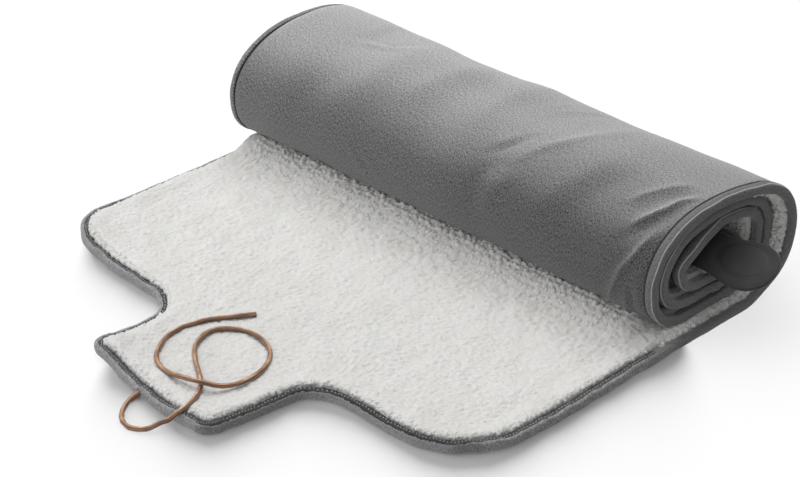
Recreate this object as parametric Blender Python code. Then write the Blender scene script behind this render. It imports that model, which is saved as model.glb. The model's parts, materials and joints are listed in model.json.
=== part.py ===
"""Padded heated mat, partly rolled up: a grey cotton back, a curly fleece face,
a bound edge, a leather tie lace and a black control tab.

Metres, +Z up. X runs along the axis of the roll, the free flap lies towards -Y
and the roll is at +Y. z = 0 is the surface the flap lies on. The origin is the
middle of the object's floor area.

The mat is laid out flat as an outline in (x, s): s runs along the mat from the
front of the tongue (s = 0) to the inner end of the roll. A section path then
carries every (x, s, h) to its place, h being the height above the outer face
of the cotton. All pieces of the mat share that path, so their gaps stay true.
"""
import bpy
import bmesh
from math import pi, sin, cos, hypot
from mathutils import Vector

# ---------------------------------------------------------------- named sizes
MAT_X = -0.0219          # centre line of the mat
FRAME_Y = 0.0727         # section tables are drawn FRAME_Y nearer the flap

HALF_W = 0.250           # half the width of the mat
TONGUE_HALF_W = 0.085    # half the width of the tongue
TONGUE_FRONT = -0.316    # y of the tongue's front edge, before FRAME_Y
SHOULDER_FRONT = -0.213  # y of the shoulders' front edge
TONGUE_R = 0.018         # tongue corner
FILLET_R = 0.022         # hollow corner between tongue and shoulder
SHOULDER_R = 0.066       # shoulder corner
END_R = 0.018            # corners of the inner end

BACK_T = 0.0016          # cotton
PILE_T = 0.0075          # fleece with its pile
GAP = 0.0003             # between touching pieces
BIND_W = 0.0100          # width of the edge binding
BIND_LOW = 0.0004        # underside of the binding above the cotton's face
BIND_TOP = 0.0082        # its upper face

RIM_SHIFT = 0.015        # how far the near edge draws in as it is rolled
SKEW = 0.0079            # the roll lies slightly askew: y per metre of x,
SKEW_X = 0.033           # about a point this far left of the centre line

ARC_STEPS = 8            # facets in each quarter of a turn
CORNER_STEPS = 5         # facets in each corner of the outline

# Section of the roll, followed along the mat: each row is the end of a quarter
# turn. side says which extreme it is, y and z place the cotton's outer face
# there, and n is the exponent of the superellipse quarter that leads to it.
FLOOR_TO_BEND = 0.098    # y at which the flap leaves the floor
SECTION = [
    # side      y        z       n
    ("back",   0.1690, 0.0600, 2.05),
    ("top",    0.0840, 0.1105, 2.55),
    ("front",  0.0043, 0.0570, 2.10),
    ("under",  0.0500, 0.0140, 2.35),
    ("run",    0.1000, 0.0140, 0.0),
    ("back",   0.1582, 0.0590, 2.20),
    ("top",    0.0860, 0.1000, 2.50),
    ("front",  0.0160, 0.0580, 2.10),
    ("under",  0.0560, 0.0262, 2.25),
    ("run",    0.0960, 0.0262, 0.0),
    ("back",   0.1470, 0.0610, 2.20),
    ("top",    0.0900, 0.0899, 2.35),
    ("front",  0.0370, 0.0620, 2.10),
    ("under",  0.0680, 0.0364, 2.20),
    ("run",    0.0960, 0.0364, 0.0),
    ("back",   0.1355, 0.0620, 2.00),
]
LAST_ARC_PART = 0.80     # the mat ends after this part of its last quarter

# Tie lace: points of its middle line, x from the mat's centre line and y before
# FRAME_Y. It comes out under the front of the tongue, loops over the floor and
# the binding, and crosses itself once on the fleece.
LACE_D = 0.0040
LACE_STEP = 0.0078
LACE_FLOOR = LACE_D / 2 + 0.0003
LACE_PILE = BACK_T + GAP + PILE_T + LACE_D / 2 + 0.0004
LACE_ROUTE = [
    # x        y        rise   (rise is above the level named in the last column)
    (0.0001, -0.3186, 0.0000, "floor"),
    (0.0035, -0.3262, 0.0000, "floor"),
    (0.0095, -0.3345, 0.0000, "floor"),
    (0.0165, -0.3402, 0.0000, "floor"),
    (0.0251, -0.3430, 0.0000, "floor"),
    (0.0327, -0.3412, 0.0000, "floor"),
    (0.0406, -0.3355, 0.0012, "floor"),
    (0.0463, -0.3285, 0.0054, "floor"),
    (0.0491, -0.3220, -0.0015, "pile"),
    (0.0493, -0.3150, 0.0006, "pile"),
    (0.0479, -0.3034, 0.0006, "pile"),
    (0.0415, -0.2886, 0.0, "pile"),
    (0.0327, -0.2767, 0.0, "pile"),
    (0.0207, -0.2678, 0.0, "pile"),
    (0.0039, -0.2572, 0.0, "pile"),
    (-0.0099, -0.2462, 0.0, "pile"),
    (-0.0174, -0.2351, 0.0, "pile"),
    (-0.0209, -0.2226, 0.0, "pile"),
    (-0.0160, -0.2111, 0.0, "pile"),
    (-0.0041, -0.2026, 0.0, "pile"),
    (0.0111, -0.2000, 0.0, "pile"),
    (0.0285, -0.2046, 0.0, "pile"),
    (0.0407, -0.2141, 0.0, "pile"),
    (0.0486, -0.2275, 0.0, "pile"),
    (0.0521, -0.2431, 0.0003, "pile"),
    (0.0517, -0.2597, 0.0016, "pile"),
    (0.0462, -0.2714, 0.0036, "pile"),
    (0.0335, -0.2785, 0.0047, "pile"),
    (0.0131, -0.2824, 0.0022, "pile"),
    (-0.0028, -0.2828, 0.0004, "pile"),
    (-0.0167, -0.2780, 0.0, "pile"),
    (-0.0268, -0.2696, 0.0, "pile"),
    (-0.0377, -0.2521, 0.0, "pile"),
    (-0.0405, -0.2357, 0.0, "pile"),
    (-0.0364, -0.2156, 0.0, "pile"),
    (-0.0271, -0.1982, 0.0, "pile"),
    (-0.0144, -0.1789, 0.0, "pile"),
]

# Control tab: stations from its root, sewn inside the core, to its tip. x, y, z
# is the middle of the station (x from the mat's centre line, y before FRAME_Y),
# half its half width, and lean the angle of its width line from upright, in
# degrees, leaning back.
TAB_T = 0.0036
TAB_STATIONS = [
    # x        y       z       half    lean
    (0.2051, 0.0545, 0.0605, 0.0090, 6.0),
    (0.2141, 0.0568, 0.0608, 0.0098, 14.0),
    (0.2231, 0.0605, 0.0613, 0.0110, 24.0),
    (0.2311, 0.0648, 0.0622, 0.0132, 32.0),
    (0.2401, 0.0692, 0.0630, 0.0158, 37.0),
]
TAB_HEAD = dict(start=(0.2401, 0.0692, 0.0630), along=(0.900, 0.426, 0.090),
                straight=0.036, half=0.0205, lean=37.0)
BUTTON_A = 0.0262        # half length of the raised oval
BUTTON_B = 0.0152        # its half width
BUTTON_H = 0.0022        # its height at the middle
BUTTON_AT = 0.0265       # its middle, measured along the tab's head

COLLECTION = "Heated_mat"


# ------------------------------------------------------------- helper pieces
def material(name, rgb, rough, metal=0.0):
    m = bpy.data.materials.new(name)
    m.use_nodes = True
    p = m.node_tree.nodes["Principled BSDF"]
    p.inputs["Base Color"].default_value = (*rgb, 1.0)
    p.inputs["Roughness"].default_value = rough
    p.inputs["Metallic"].default_value = metal
    m.diffuse_color = (*rgb, 1.0)
    return m


def add_mesh(name, verts, faces, mat, coll, smooth=True):
    me = bpy.data.meshes.new(name)
    me.from_pydata([tuple(v) for v in verts], [], faces)
    bm = bmesh.new()
    bm.from_mesh(me)
    bmesh.ops.recalc_face_normals(bm, faces=bm.faces[:])
    bm.to_mesh(me)
    bm.free()
    if smooth:
        me.shade_smooth()
        me.set_sharp_from_angle(angle=0.6)
    me.materials.append(mat)
    ob = bpy.data.objects.new(name, me)
    coll.objects.link(ob)
    return ob


# --------------------------------------------------------------- section path
def section_points():
    """(y, z) of the cotton's outer face from the tongue to the inner end."""
    pts = [(TONGUE_FRONT, 0.0), (FLOOR_TO_BEND, 0.0)]
    y0, z0 = pts[-1]
    upright = False                    # the path's direction at (y0, z0)
    for i, (side, y1, z1, n) in enumerate(SECTION):
        if side == "run":
            pts.append((y1, z1))
            y0, z0 = y1, z1
            upright = False
            continue
        steps = ARC_STEPS
        part = LAST_ARC_PART if i == len(SECTION) - 1 else 1.0
        for k in range(1, steps + 1):
            t = part * k / steps * pi / 2
            a = sin(t) ** (2 / n) if t < pi / 2 - 1e-9 else 1.0
            b = cos(t) ** (2 / n) if t < pi / 2 - 1e-9 else 0.0
            if upright:                # leaves upright, arrives level
                pts.append((y1 + (y0 - y1) * b, z0 + (z1 - z0) * a))
            else:                      # leaves level, arrives upright
                pts.append((y0 + (y1 - y0) * a, z1 + (z0 - z1) * b))
        y0, z0 = y1, z1
        upright = not upright
    return pts


class Path:
    """The section as a chain of facets, with a mitred normal at every corner."""

    def __init__(self, pts):
        self.p = pts
        self.s = [0.0]
        for a, b in zip(pts, pts[1:]):
            self.s.append(self.s[-1] + hypot(b[0] - a[0], b[1] - a[1]))
        self.n = []
        for i in range(len(pts)):
            dirs = []
            for a, b in ((i - 1, i), (i, i + 1)):
                if a >= 0 and b < len(pts):
                    dy, dz = pts[b][0] - pts[a][0], pts[b][1] - pts[a][1]
                    d = hypot(dy, dz)
                    dirs.append((-dz / d, dy / d))
            ny = sum(d[0] for d in dirs)
            nz = sum(d[1] for d in dirs)
            d = hypot(ny, nz)
            ny, nz = ny / d, nz / d
            c = ny * dirs[0][0] + nz * dirs[0][1]
            self.n.append((ny / c, nz / c))
        self.length = self.s[-1]

    def at(self, s, h):
        s = min(max(s, 0.0), self.length)
        i = 0
        while i < len(self.s) - 2 and self.s[i + 1] < s - 1e-9:
            i += 1
        t = (s - self.s[i]) / (self.s[i + 1] - self.s[i])
        y = self.p[i][0] * (1 - t) + self.p[i + 1][0] * t
        z = self.p[i][1] * (1 - t) + self.p[i + 1][1] * t
        ny = self.n[i][0] * (1 - t) + self.n[i + 1][0] * t
        nz = self.n[i][1] * (1 - t) + self.n[i + 1][1] * t
        return y + ny * h, z + nz * h


def ease(t):
    t = min(max(t, 0.0), 1.0)
    return t * t * (3 - 2 * t)


PATH = Path(section_points())
S_FLOOR = FLOOR_TO_BEND - TONGUE_FRONT              # s where the flap ends
S_BACK = PATH.s[1 + ARC_STEPS]                      # s of the first back
S_FRONT = PATH.s[1 + 3 * ARC_STEPS]                 # s of the first front
S_END = PATH.length


def place(x, s, h):
    """A point of the flat mat, carried to where the mat lies."""
    y, z = PATH.at(s, h)
    draw = RIM_SHIFT * ease((s - S_BACK + 0.03) / (S_FRONT - S_BACK))
    if x > 0:
        x = x * (1 - draw / HALF_W)
    skew = SKEW * ease((s - 0.19) / (S_FLOOR - 0.22))
    return Vector((MAT_X + x, FRAME_Y + y + skew * (x + SKEW_X), z))


# ---------------------------------------------------------------- flat outline
def corner(cx, cs, r, a0, a1, steps=CORNER_STEPS):
    """Points of an arc about (cx, cs) from angle a0 to a1, in degrees."""
    out = []
    for k in range(steps + 1):
        a = (a0 + (a1 - a0) * k / steps) * pi / 180
        out.append((cx + r * cos(a), cs + r * sin(a)))
    return out


def half_outline(inset):
    """Right half of the outline moved in by inset: the tongue's part and the
    body's part, both as (x, s) with s rising."""
    s_sh = SHOULDER_FRONT - TONGUE_FRONT
    tongue = corner(TONGUE_HALF_W - TONGUE_R, TONGUE_R,
                    TONGUE_R - inset, -90, 0)
    fillet_c = (TONGUE_HALF_W + FILLET_R, s_sh - FILLET_R)
    tongue += corner(*fillet_c, FILLET_R + inset, 180, 90)
    body = corner(HALF_W - SHOULDER_R, s_sh + SHOULDER_R,
                  SHOULDER_R - inset, -90, 0)
    s_arc = s_sh + SHOULDER_R
    s_last = S_END - END_R
    for s in PATH.s[1:]:
        if s_arc + 1e-6 < s < s_last - 1e-4:
            body.append((HALF_W - inset, s))
    body += corner(HALF_W - END_R, s_last, END_R - inset, 0, 90)
    return tongue, body


def panel(name, inset, h0, h1, mat, coll):
    """A sheet of the mat: rows across it, closed into a solid from h0 to h1."""
    tongue, body = half_outline(inset)
    join = tongue[-1][0]               # where tongue and shoulder meet
    flat, rows = [], []

    def add(x, s):
        flat.append((x, s))
        return len(flat) - 1

    for x, s in tongue[:-1]:
        rows.append([None, add(-x, s), add(x, s), None])
    for x, s in body:
        if x < join + 1e-6:
            continue
        rows.append([add(-x, s), add(-join, s), add(join, s), add(x, s)])
    top = []
    for a, b in zip(rows, rows[1:]):
        for k in range(3):
            q = (a[k], a[k + 1], b[k + 1], b[k])
            if None not in q:
                top.append(q)
    return thicken(name, flat, top, h0, h1, mat, coll)


def thicken(name, flat, top, h0, h1, mat, coll):
    """Two copies of a flat patch at heights h0 and h1, walled along its edge."""
    n = len(flat)
    verts = [place(x, s, h0) for x, s in flat]
    verts += [place(x, s, h1) for x, s in flat]
    faces = [tuple(reversed(f)) for f in top]
    faces += [tuple(i + n for i in f) for f in top]
    used = {}
    for f in top:
        for a, b in zip(f, f[1:] + f[:1]):
            used[(a, b)] = True
    for a, b in used:
        if (b, a) not in used:
            faces.append((a, b, b + n, a + n))
    return add_mesh(name, verts, faces, mat, coll)


def ring(inset, h):
    """The whole outline at one inset and height, carried to its place."""
    tongue, body = half_outline(inset)
    right = tongue + body
    left = [(-x, s) for x, s in reversed(right)]
    return [place(x, s, h) for x, s in right + left]


def binding(mat, coll):
    """The folded edge tape, one closed band with rounded outer corners."""
    profile = [
        # inset   h
        (0.0000, 0.0030),
        (0.0022, BIND_LOW),
        (BIND_W, BIND_LOW),
        (BIND_W, BIND_TOP),
        (0.0026, BIND_TOP),
        (0.0000, 0.0056),
    ]
    rings = [ring(i, h) for i, h in profile]
    n = len(rings[0])
    verts = [v for r in rings for v in r]
    faces = []
    for k in range(len(rings)):
        k2 = (k + 1) % len(rings)
        for j in range(n):
            j2 = (j + 1) % n
            faces.append((k * n + j, k * n + j2, k2 * n + j2, k2 * n + j))
    return add_mesh("binding", verts, faces, mat, coll)


# --------------------------------------------------------------------- lace
def smooth_route(points, step):
    """Evenly spaced points along a Catmull-Rom curve through the route."""
    p = [Vector(q) for q in points]
    p = [2 * p[0] - p[1]] + p + [2 * p[-1] - p[-2]]
    fine = []
    for i in range(1, len(p) - 2):
        for k in range(24):
            t = k / 24
            a, b, c, d = p[i - 1], p[i], p[i + 1], p[i + 2]
            fine.append(0.5 * ((2 * b) + (c - a) * t
                               + (2 * a - 5 * b + 4 * c - d) * t * t
                               + (3 * b - a - 3 * c + d) * t ** 3))
    fine.append(p[-2])
    total = sum((b - a).length for a, b in zip(fine, fine[1:]))
    count = max(2, round(total / step))
    out, walked, i = [fine[0]], 0.0, 0
    for k in range(1, count):
        want = total * k / count
        while walked + (fine[i + 1] - fine[i]).length < want:
            walked += (fine[i + 1] - fine[i]).length
            i += 1
        seg = fine[i + 1] - fine[i]
        out.append(fine[i] + seg * ((want - walked) / seg.length))
    out.append(fine[-1])
    return out


def lace(mat, coll):
    level = {"floor": LACE_FLOOR, "pile": LACE_PILE}
    route = [(MAT_X + x, FRAME_Y + y, level[on] + rise)
             for x, y, rise, on in LACE_ROUTE]
    pts = smooth_route(route, LACE_STEP)
    cu = bpy.data.curves.new("tie_cord", "CURVE")
    cu.dimensions = "3D"
    cu.bevel_depth = LACE_D / 2
    cu.bevel_resolution = 2
    cu.use_fill_caps = True
    sp = cu.splines.new("POLY")
    sp.points.add(len(pts) - 1)
    for q, v in zip(sp.points, pts):
        q.co = (*v, 1.0)
    ob = bpy.data.objects.new("tie_cord", cu)
    cu.materials.append(mat)
    coll.objects.link(ob)
    return ob


# ---------------------------------------------------------------- control tab
def lean_dir(along, lean):
    """Width line of the tab: up and leaning back, square to its length."""
    a = Vector(along).normalized()
    w = Vector((0.0, sin(lean * pi / 180), cos(lean * pi / 180)))
    return (w - a * w.dot(a)).normalized()


def tab_stations():
    """(middle, width direction, half width) from root to tip."""
    out = []
    mids = [Vector((x, y, z)) for x, y, z, _, _ in TAB_STATIONS]
    for i, (x, y, z, half, lean) in enumerate(TAB_STATIONS):
        a = mids[min(i + 1, len(mids) - 1)] - mids[max(i - 1, 0)]
        out.append((mids[i], lean_dir(a, lean), half))
    h = TAB_HEAD
    start, along = Vector(h["start"]), Vector(h["along"]).normalized()
    w = lean_dir(along, h["lean"])
    full, straight = h["half"], h["straight"]
    for k in range(1, 5):              # widens to full width
        t = k / 4
        half = TAB_STATIONS[-1][3] + (full - TAB_STATIONS[-1][3]) * ease(t)
        out.append((start + along * (straight * t), w, half))
    for k in range(1, 9):              # rounded tip
        t = k / 8 * pi / 2
        half = full * cos(t) ** 0.8 if k < 8 else 0.004
        out.append((start + along * (straight + full * 1.05 * sin(t)), w, half))
    return out


def control_tab(mat, coll):
    st = tab_stations()
    verts, faces = [], []
    across = 6
    for i, (m, w, half) in enumerate(st):
        a = (st[min(i + 1, len(st) - 1)][0] - st[max(i - 1, 0)][0]).normalized()
        up = w.cross(a).normalized()
        if up.y > 0:                   # the face that looks out to the front
            up = -up
        loop = []
        for k in range(across + 1):    # front face
            v = -1 + 2 * k / across
            dip = TAB_T * 0.5 * (1 - 0.35 * abs(v) ** 6)
            loop.append(m + w * (half * v) + up * dip)
        for k in range(across, -1, -1):
            v = -1 + 2 * k / across
            dip = TAB_T * 0.5 * (1 - 0.35 * abs(v) ** 6)
            loop.append(m + w * (half * v) - up * dip)
        verts += [v + Vector((MAT_X, FRAME_Y, 0)) for v in loop]
    n = 2 * (across + 1)
    for i in range(len(st) - 1):
        for k in range(n):
            k2 = (k + 1) % n
            faces.append((i * n + k, i * n + k2, (i + 1) * n + k2, (i + 1) * n + k))
    faces.append(tuple(range(n)))
    faces.append(tuple((len(st) - 1) * n + k for k in reversed(range(n))))
    return add_mesh("control_tab", verts, faces, mat, coll)


def control_button(mat, coll):
    h = TAB_HEAD
    along = Vector(h["along"]).normalized()
    w = lean_dir(along, h["lean"])
    up = w.cross(along).normalized()
    if up.y > 0:
        up = -up
    mid = Vector(h["start"]) + along * BUTTON_AT + Vector((MAT_X, FRAME_Y, 0))
    base = TAB_T * 0.5 + GAP
    sides = 32
    levels = [(1.0, 0.0), (1.0, 0.35), (0.93, 0.8), (0.80, 1.0)]  # share of size, height
    verts, faces = [], []
    for share, height in levels:
        for k in range(sides):
            t = 2 * pi * k / sides
            verts.append(mid + along * (BUTTON_A * share * cos(t))
                         + w * (BUTTON_B * share * sin(t))
                         + up * (base + BUTTON_H * height))
    for i in range(len(levels) - 1):
        for k in range(sides):
            k2 = (k + 1) % sides
            faces.append((i * sides + k, i * sides + k2,
                          (i + 1) * sides + k2, (i + 1) * sides + k))
    faces.append(tuple(reversed(range(sides))))
    faces.append(tuple((len(levels) - 1) * sides + k for k in range(sides)))
    return add_mesh("control_button", verts, faces, mat, coll)


def main():
    for ob in list(bpy.data.objects):
        bpy.data.objects.remove(ob, do_unlink=True)
    coll = bpy.data.collections.new(COLLECTION)
    bpy.context.scene.collection.children.link(coll)

    cotton = material("cotton_grey", (0.115, 0.117, 0.120), 0.92)
    fleece = material("fleece_white", (0.78, 0.76, 0.72), 0.95)
    tape = material("tape_grey", (0.090, 0.092, 0.095), 0.90)
    tan = material("lace_tan", (0.36, 0.19, 0.09), 0.55)
    black = material("tab_black", (0.018, 0.018, 0.019), 0.75)
    button = material("button_black", (0.026, 0.026, 0.028), 0.60)

    panel("back_panel", BIND_W + GAP, 0.0, BACK_T, cotton, coll)
    panel("fleece_panel", BIND_W + GAP, BACK_T + GAP, BACK_T + GAP + PILE_T,
          fleece, coll)
    binding(tape, coll)
    lace(tan, coll)
    control_tab(black, coll)
    control_button(button, coll)


main()
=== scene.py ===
import json
from math import pi, sin, cos, radians

import bpy
import bmesh
import numpy as np
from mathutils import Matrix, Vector

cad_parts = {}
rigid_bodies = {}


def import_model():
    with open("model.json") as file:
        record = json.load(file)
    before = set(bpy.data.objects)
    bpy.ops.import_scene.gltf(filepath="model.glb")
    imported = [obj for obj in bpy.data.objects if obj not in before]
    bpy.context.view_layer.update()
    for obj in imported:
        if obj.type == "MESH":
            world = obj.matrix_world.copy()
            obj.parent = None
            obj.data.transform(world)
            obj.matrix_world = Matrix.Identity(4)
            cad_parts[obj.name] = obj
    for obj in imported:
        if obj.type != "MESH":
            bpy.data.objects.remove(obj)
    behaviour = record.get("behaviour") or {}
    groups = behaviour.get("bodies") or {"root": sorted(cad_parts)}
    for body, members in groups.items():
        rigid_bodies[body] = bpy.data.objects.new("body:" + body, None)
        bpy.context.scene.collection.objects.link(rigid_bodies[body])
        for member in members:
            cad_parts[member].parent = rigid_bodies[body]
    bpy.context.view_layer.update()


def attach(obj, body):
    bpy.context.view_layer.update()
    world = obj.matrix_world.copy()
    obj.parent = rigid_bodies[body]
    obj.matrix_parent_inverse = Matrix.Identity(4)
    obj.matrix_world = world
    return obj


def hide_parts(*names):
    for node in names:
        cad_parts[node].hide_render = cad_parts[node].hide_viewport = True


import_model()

# ---------------------------------------------------------------- named sizes
MAT_X, FRAME_Y = -0.0219, 0.0727
HALF_W, TONGUE_HALF_W = 0.250, 0.085
TONGUE_FRONT, SHOULDER_FRONT = -0.316, -0.213
TONGUE_R, FILLET_R, SHOULDER_R, END_R = 0.018, 0.022, 0.066, 0.018
BACK_T, PILE_T, GAP, BIND_W = 0.0016, 0.0075, 0.0003, 0.0100
PILE_TOP = BACK_T + GAP + PILE_T
RIM_SHIFT, SKEW, SKEW_X = 0.015, 0.0079, 0.033
FLOOR_TO_BEND = 0.098
SECTION = [
    # side      y        z       n
    ("back",   0.1690, 0.0600, 2.05),
    ("top",    0.0840, 0.1105, 2.55),
    ("front",  0.0043, 0.0570, 2.10),
    ("under",  0.0500, 0.0140, 2.35),
    ("run",    0.1000, 0.0140, 0.0),
    ("back",   0.1520, 0.0590, 2.20),
    ("top",    0.0860, 0.1000, 2.50),
    ("front",  0.0160, 0.0580, 2.10),
    ("under",  0.0560, 0.0262, 2.25),
    ("run",    0.0960, 0.0262, 0.0),
    ("back",   0.1410, 0.0610, 2.20),
    ("top",    0.0900, 0.0899, 2.35),
    ("front",  0.0370, 0.0610, 1.32),
    ("under",  0.0680, 0.0364, 2.20),
    ("run",    0.0960, 0.0364, 0.0),
    ("back",   0.1305, 0.0620, 2.00),
]
LAST_ARC_PART = 0.80

LACE_D = 0.0040
LACE_FLOOR = LACE_D / 2 + 0.0003
LACE_PILE = PILE_TOP + LACE_D / 2 - 0.0007
LACE_ROUTE = [
    # x        y        rise   (rise is above the level named in the last column)
    (0.0001, -0.3186, 0.0000, "floor"),
    (0.0035, -0.3262, 0.0000, "floor"),
    (0.0095, -0.3345, 0.0000, "floor"),
    (0.0165, -0.3402, 0.0000, "floor"),
    (0.0251, -0.3430, 0.0000, "floor"),
    (0.0327, -0.3412, 0.0000, "floor"),
    (0.0406, -0.3355, 0.0012, "floor"),
    (0.0463, -0.3285, 0.0054, "floor"),
    (0.0491, -0.3220, -0.0015, "pile"),
    (0.0493, -0.3150, 0.0006, "pile"),
    (0.0479, -0.3034, 0.0006, "pile"),
    (0.0415, -0.2886, 0.0, "pile"),
    (0.0327, -0.2767, 0.0, "pile"),
    (0.0207, -0.2678, 0.0, "pile"),
    (0.0039, -0.2572, 0.0, "pile"),
    (-0.0099, -0.2462, 0.0, "pile"),
    (-0.0174, -0.2351, 0.0, "pile"),
    (-0.0209, -0.2226, 0.0, "pile"),
    (-0.0160, -0.2111, 0.0, "pile"),
    (-0.0041, -0.2026, 0.0, "pile"),
    (0.0111, -0.2000, 0.0, "pile"),
    (0.0285, -0.2046, 0.0, "pile"),
    (0.0407, -0.2141, 0.0, "pile"),
    (0.0486, -0.2275, 0.0, "pile"),
    (0.0521, -0.2431, 0.0003, "pile"),
    (0.0517, -0.2597, 0.0016, "pile"),
    (0.0462, -0.2714, 0.0036, "pile"),
    (0.0335, -0.2785, 0.0047, "pile"),
    (0.0131, -0.2824, 0.0022, "pile"),
    (-0.0028, -0.2828, 0.0004, "pile"),
    (-0.0167, -0.2780, 0.0, "pile"),
    (-0.0268, -0.2696, 0.0, "pile"),
    (-0.0377, -0.2521, 0.0, "pile"),
    (-0.0405, -0.2357, 0.0, "pile"),
    (-0.0364, -0.2156, 0.0, "pile"),
    (-0.0271, -0.1982, 0.0, "pile"),
    (-0.0144, -0.1789, 0.0, "pile"),
]

TAB_T = 0.0036
TAB_STATIONS = [
    # x        y       z       half    lean
    (0.1880, 0.0850, 0.0590, 0.0150, 52.0),
    (0.1990, 0.0850, 0.0593, 0.0165, 56.0),
    (0.2100, 0.0850, 0.0596, 0.0178, 60.0),
    (0.2210, 0.0850, 0.0598, 0.0185, 62.5),
    (0.2323, 0.0850, 0.0601, 0.0186, 63.6),
]
TAB_UP = 0.0
TAB_HEAD = dict(start=(0.2323, 0.0850, 0.0601), along=(1.0, 0.0, 0.034),
                straight=0.0325, half=0.0238, lean=63.6)
BUTTON_A, BUTTON_B, BUTTON_H, BUTTON_AT = 0.0238, 0.0162, 0.0022, 0.0272

# ------------------------------------------------------------- camera first
CAM_AZ, CAM_EL, CAM_DIST = 45.129, 29.703, 1.9931
CAM_TARGET = Vector((-0.0547, 0.0727, 0.0))
a, e = radians(CAM_AZ), radians(CAM_EL)
back = Vector((sin(a) * cos(e), -cos(a) * cos(e), sin(e)))
cam_data = bpy.data.cameras.new("camera")
cam_data.sensor_fit = "HORIZONTAL"
cam_data.sensor_width = 36.0
cam_data.lens = 106.33
cam_data.clip_start, cam_data.clip_end = 0.05, 50.0
camera = bpy.data.objects.new("camera", cam_data)
camera.location = CAM_TARGET + back * CAM_DIST
camera.rotation_mode = "QUATERNION"
camera.rotation_quaternion = (-back).to_track_quat("-Z", "Y")
bpy.context.scene.collection.objects.link(camera)
bpy.context.scene.camera = camera


# --------------------------------------------------------------- section path
def ease(t):
    t = np.clip(t, 0.0, 1.0)
    return t * t * (3 - 2 * t)


def section_curve(step=0.0005, soften=0.0020):
    """Evenly spaced points of the cotton's outer face, their inward normals, and
    the length along the mat at which each quarter turn ends."""
    y, z, marks = [TONGUE_FRONT, FLOOR_TO_BEND], [0.0, 0.0], []
    y0, z0, upright = FLOOR_TO_BEND, 0.0, False
    for i, (side, y1, z1, n) in enumerate(SECTION):
        if side == "run":
            y.append(y1)
            z.append(z1)
            y0, z0, upright = y1, z1, False
        else:
            part = LAST_ARC_PART if i == len(SECTION) - 1 else 1.0
            t = part * np.linspace(0, 1, 361)[1:] * pi / 2
            up = np.sin(t) ** (2 / n)
            down = np.clip(np.cos(t), 0, 1) ** (2 / n)
            if upright:
                y += list(y1 + (y0 - y1) * down)
                z += list(z0 + (z1 - z0) * up)
            else:
                y += list(y0 + (y1 - y0) * up)
                z += list(z1 + (z0 - z1) * down)
            y0, z0, upright = y1, z1, not upright
        marks.append(len(y) - 1)
    y, z = np.array(y), np.array(z)
    arc = np.concatenate([[0], np.cumsum(np.hypot(np.diff(y), np.diff(z)))])
    s = np.linspace(0, arc[-1], int(round(arc[-1] / step)) + 1)
    yy, zz = np.interp(s, arc, y), np.interp(s, arc, z)
    ty, tz = np.gradient(yy, s), np.gradient(zz, s)
    k = np.exp(-0.5 * (np.arange(-12, 13) * step / soften) ** 2)
    k /= k.sum()
    ty, tz = (np.convolve(np.pad(v, 12, mode="edge"), k, mode="valid") for v in (ty, tz))
    d = np.hypot(ty, tz)
    return s, yy, zz, -tz / d, ty / d, [arc[i] for i in marks]


S, PY, PZ, NY, NZ, MARKS = section_curve()
S_FLOOR = FLOOR_TO_BEND - TONGUE_FRONT
S_BACK, S_TOP, S_FRONT, S_UNDER, S_RUN, S_BACK2 = MARKS[:6]
S_END = S[-1]
S_SHOULDER = SHOULDER_FRONT - TONGUE_FRONT


def place(x, s, h):
    """Points of the flat mat, carried to where the mat lies."""
    x, s, h = np.broadcast_arrays(np.asarray(x, float), np.asarray(s, float),
                                  np.asarray(h, float))
    x, s = settle(x, s)
    y = np.interp(s, S, PY) + np.minimum(s, 0) + np.interp(s, S, NY) * h
    z = np.interp(s, S, PZ) + np.interp(s, S, NZ) * h
    draw = RIM_SHIFT * ease((s - S_BACK + 0.03) / (S_FRONT - S_BACK))
    xx = np.where(x > 0, x * (1 - draw / HALF_W), x)
    skew = SKEW * ease((s - 0.19) / (S_FLOOR - 0.22))
    return np.stack([MAT_X + xx, FRAME_Y + y + skew * (xx + SKEW_X), z], -1)


# --------------------------------------------------------------- flat outline
def rounded(x, s, half, s0, s1, r):
    """Signed distance to a rectangle with rounded corners, below 0 inside."""
    qx = np.abs(x) - half + r
    qs = np.abs(s - (s0 + s1) / 2) - (s1 - s0) / 2 + r
    return (np.minimum(np.maximum(qx, qs), 0)
            + np.hypot(np.maximum(qx, 0), np.maximum(qs, 0)) - r)


def inset(x, s):
    """How far a point of the flat mat is from its edge, above 0 inside."""
    r = np.where(s < 0.7, SHOULDER_R, END_R)
    body = rounded(x, s, HALF_W, S_SHOULDER, S_END, r)
    tongue = rounded(x, s, TONGUE_HALF_W, 0.0, S_SHOULDER + 0.10, TONGUE_R)
    f = FILLET_R
    both = (np.maximum(f, np.minimum(body, tongue))
            - np.hypot(np.maximum(f - body, 0), np.maximum(f - tongue, 0)))
    return -both


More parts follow.
